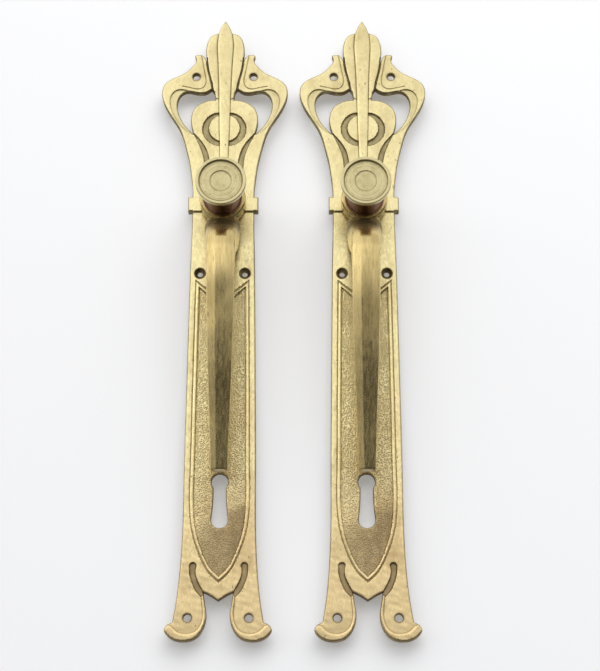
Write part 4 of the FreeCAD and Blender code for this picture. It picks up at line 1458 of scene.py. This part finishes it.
    def build(self, shop: Workshop) -> bpy.types.Object:
        """Joins arm and hub in one piece and dresses it."""
        arm, arm_faces, arm_shade_and_dirt, arm_wear = self.arm()
        hub, hub_faces, hub_dirt, hub_wear = self.hub()
        verts, faces = joined([(arm, arm_faces), (hub, hub_faces)])
        verts[:, 0] += Place.of(f"{self.side.value}_collar_ring").axis
        # The arm's recess values hold the painted shade at its root.
        values = {"recess": np.r_[arm_shade_and_dirt, hub_dirt], "rub": np.r_[arm_wear, hub_wear]}
        piece = make_object(f"{self.side.value}_lever_arm", verts, faces, values, 40.0)
        shop.dress(piece, Workshop.LEVER)
        return stand(piece, f"{self.side.value}_lever", self.side.turning)


# ------------------------------------------------------------------ spindle


@dataclass
class SpindleSet:
    """Square spindle and the pin that holds it in its lever."""

    side: Side
    chamfer: float = 0.55
    point: float = 0.9
    dome: float = 0.3

    def bar(self, shop: Workshop) -> bpy.types.Object:
        """Builds the square bar, its long edges and ends chamfered."""
        place = Place.of(f"{self.side.value}_spindle")
        half, cut = place.radius, self.chamfer
        rings = []
        ends = [
            (place.back, half - self.point), (place.back + self.point, half), (place.front - 0.5, half),
            (place.front, half - 0.5)
        ]
        lengths = [ends[0], ends[1]] + [
            (h, half) for h in np.linspace(place.back + 3, place.front - 3, 24)
        ] + [ends[2], ends[3]]
        for height, size in lengths:
            corner = size - cut
            outline = [
                (size, -corner), (size, corner), (corner, size), (-corner, size), (-size, corner),
                (-size, -corner), (-corner, -size), (corner, -size)
            ]
            ring = soften(outline, 0.16, 3)
            rings.append(np.array([(place.axis + x, -height, z) for x, z in ring]))
        each = len(rings[0])
        faces: list = [
            tuple(range(each)), tuple((len(rings) - 1) * each + k for k in reversed(range(each)))
        ]
        for i in range(len(rings) - 1):
            for k in range(each):
                m = (k + 1) % each
                faces.append((i * each + m, i * each + k, (i + 1) * each + k, (i + 1) * each + m))
        verts = np.vstack(rings)
        along = -verts[:, 1]
        darkening = 0.15 + 0.5 * bell(along - place.back, 5.0)
        piece = make_object(
            f"{self.side.value}_square_bar", verts, faces,
            {"recess": darkening, "rub": np.full(len(verts), 0.1), "ring": along}, 30.0
        )
        shop.dress(piece, Workshop.STEEL)
        return piece

    def pin(self, shop: Workshop) -> bpy.types.Object:
        """Builds the pin with its two low domed ends."""
        low, high = (np.array(tuple(corner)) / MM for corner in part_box(f"{self.side.value}_cross_pin"))
        middle, radius, half = (low + high) / 2, (high[2] - low[2]) / 2, (high[0] - low[0]) / 2
        head = [
            (radius * math.cos(a), half - self.dome + self.dome * math.sin(a))
            for a in np.linspace(0, 1.35, 8)
        ]
        run = [(r, -at) for r, at in reversed(head)] + [
            (radius, at) for at in np.linspace(-half + 1, half - 1, 12)
        ] + head
        verts, faces = lathe(run, 40, capped=True)
        verts = np.c_[-verts[:, 1], verts[:, 0], verts[:, 2]] + middle
        darkening = np.full(len(verts), 0.25)
        piece = make_object(
            f"{self.side.value}_domed_pin", verts, faces,
            {"recess": darkening, "rub": darkening * 0, "ring": verts[:, 0]}, 40.0
        )
        shop.dress(piece, Workshop.STEEL)
        return piece

    def build(self, shop: Workshop) -> None:
        """Builds both pieces; they turn with the lever."""
        stand(self.bar(shop), f"{self.side.value}_spindle", self.side.turning)
        stand(self.pin(shop), f"{self.side.value}_cross_pin", self.side.turning)


# ------------------------------------------------------------------ halves and studio


@dataclass
class Half:
    """One half of the pair: plate, bearing, lever and knob, and the spindle where it is fitted."""

    side: Side
    with_spindle: bool

    def build(self, pattern: Tuple[np.ndarray, list, Dict[str, np.ndarray]], shop: Workshop) -> None:
        """Builds every piece of the half."""
        name = self.side.value
        plate = BackPlate(self.side, Place.of(f"{name}_guide_bush").axis)
        stand(plate.build(pattern, shop), f"{name}_backplate", self.side.fixed)
        Bearing(self.side).build(shop)
        Lever(self.side).build(shop)
        Knob(self.side).build(shop)
        if self.with_spindle:
            SpindleSet(self.side).build(shop)


@dataclass
class Studio:
    """Pale surface behind the pair, soft light and the camera."""

    aim: Tuple[float, float, float] = (0.0434, 0.0, -0.0761)
    distance: float = 1.0064
    elevation: float = -17.0
    lens: float = 97.1
    sensor: float = 36.0
    gap: float = 0.005
    sky_low: float = 0.075
    sky_high: float = 0.145
    sky_dark: float = 0.075
    side_light: float = 0.28
    sky_light: float = 1.28
    sky_top: float = 0.76
    glow: float = 0.25
    albedo: float = 0.88
    lamp_watts: float = 10.5
    lamp_at: Tuple[float, float, float] = (0.3, -1.0, 1.0)
    lamp_size: Tuple[float, float] = (1.6, 1.0)
    lean: float = 0.2
    side_reach: Tuple[float, float] = (-0.85, -0.15)
    top_fall: Tuple[float, float] = (0.35, 0.44)
    paper_half: float = 5000.0

    def camera(self) -> None:
        """Makes the scene's camera."""
        data = bpy.data.cameras.new("camera")
        data.lens, data.sensor_width = self.lens, self.sensor
        data.clip_start, data.clip_end = 0.01, 50.0
        seen = bpy.data.objects.new("camera", data)
        bpy.context.scene.collection.objects.link(seen)
        slope = math.radians(self.elevation)
        away = Vector((0.0, -math.cos(slope), math.sin(slope)))
        seen.location = Vector(self.aim) + away * self.distance
        seen.rotation_euler = (-away).to_track_quat("-Z", "Y").to_euler()
        bpy.context.scene.camera = seen

    def backdrop(self) -> None:
        """Makes the pale surface that the pair is seen against, clear from behind."""
        size = self.paper_half
        y = self.gap / MM
        verts = np.array([(-size, y, -size), (size, y, -size), (size, y, size), (-size, y, size)])
        piece = make_object("pale_floor", verts, [(0, 1, 2, 3)])
        made = bpy.data.materials.new("Pale paper")
        made.use_nodes = True
        nodes = Nodes(made.node_tree)
        paper = made.node_tree.nodes["Principled BSDF"]
        output = made.node_tree.nodes["Material Output"]
        paper.inputs["Base Color"].default_value = (
            self.albedo * 0.985, self.albedo * 0.99, self.albedo * 1.01, 1
        )
        paper.inputs["Roughness"].default_value = 0.9
        paper.inputs["Specular IOR Level"].default_value = 0.1
        paper.inputs["Emission Color"].default_value = (1, 1, 0.995, 1)
        paper.inputs["Emission Strength"].default_value = self.glow
        clear = nodes.add("ShaderNodeBsdfTransparent")
        swap = nodes.add("ShaderNodeMixShader")
        nodes.link(nodes.add("ShaderNodeNewGeometry").outputs["Backfacing"], swap.inputs[0])
        nodes.link(paper.outputs[0], swap.inputs[1])
        nodes.link(clear.outputs[0], swap.inputs[2])
        nodes.link(swap.outputs[0], output.inputs["Surface"])
        piece.data.materials.append(made)

    def light(self) -> None:
        """Makes the soft light: bright from above, dim from below, a little more on the left."""
        world = bpy.data.worlds.new("soft room")
        world.use_nodes = True
        bpy.context.scene.world = world
        nodes = Nodes(world.node_tree)
        way = nodes.add("ShaderNodeSeparateXYZ")
        nodes.link(nodes.add("ShaderNodeTexCoord").outputs["Generated"], way.inputs[0])
        lift = nodes.spread(way.outputs["Z"], self.sky_low, self.sky_high)
        lean = nodes.spread(
            way.outputs["X"], -0.8, 0.8, (1 + self.lean) * self.sky_light,
            (1 - self.lean) * self.sky_light
        )
        dim = nodes.spread(way.outputs["X"], *self.side_reach, self.side_light, self.sky_dark)
        fall = nodes.spread(way.outputs["Z"], *self.top_fall, 1.0, self.sky_top)
        above = nodes.times(nodes.times(lift, lean), fall)
        below = nodes.times(nodes.math("SUBTRACT", 1.0, lift), dim)
        back = world.node_tree.nodes["Background"]
        nodes.link(nodes.plus(above, below), back.inputs["Color"])
        data = bpy.data.lights.new("overhead", "AREA")
        data.shape, data.energy = "RECTANGLE", self.lamp_watts
        data.size, data.size_y = self.lamp_size
        lamp = bpy.data.objects.new("overhead", data)
        bpy.context.scene.collection.objects.link(lamp)
        lamp.visible_glossy = False
        lamp.location = self.lamp_at
        lamp.rotation_euler = (Vector(self.aim) - lamp.location).to_track_quat("-Z", "Y").to_euler()

    def build(self) -> None:
        """Sets up the view transform, the backdrop, the light and the camera."""
        bpy.context.scene.view_settings.view_transform = "Standard"
        self.backdrop()
        self.light()
        self.camera()


def main() -> None:
    """Builds both halves and the studio."""
    logging.basicConfig(level=logging.INFO, format="%(message)s")
    shop = Workshop()
    pattern = BackPlate(Side.LEFT, 0.0).pattern()
    LOG.info("plate pattern: %d points", len(pattern[0]))
    Half(Side.LEFT, with_spindle=True).build(pattern, shop)
    Half(Side.RIGHT, with_spindle=False).build(pattern, shop)
    Studio().build()


if __name__ == "__main__":
    main()
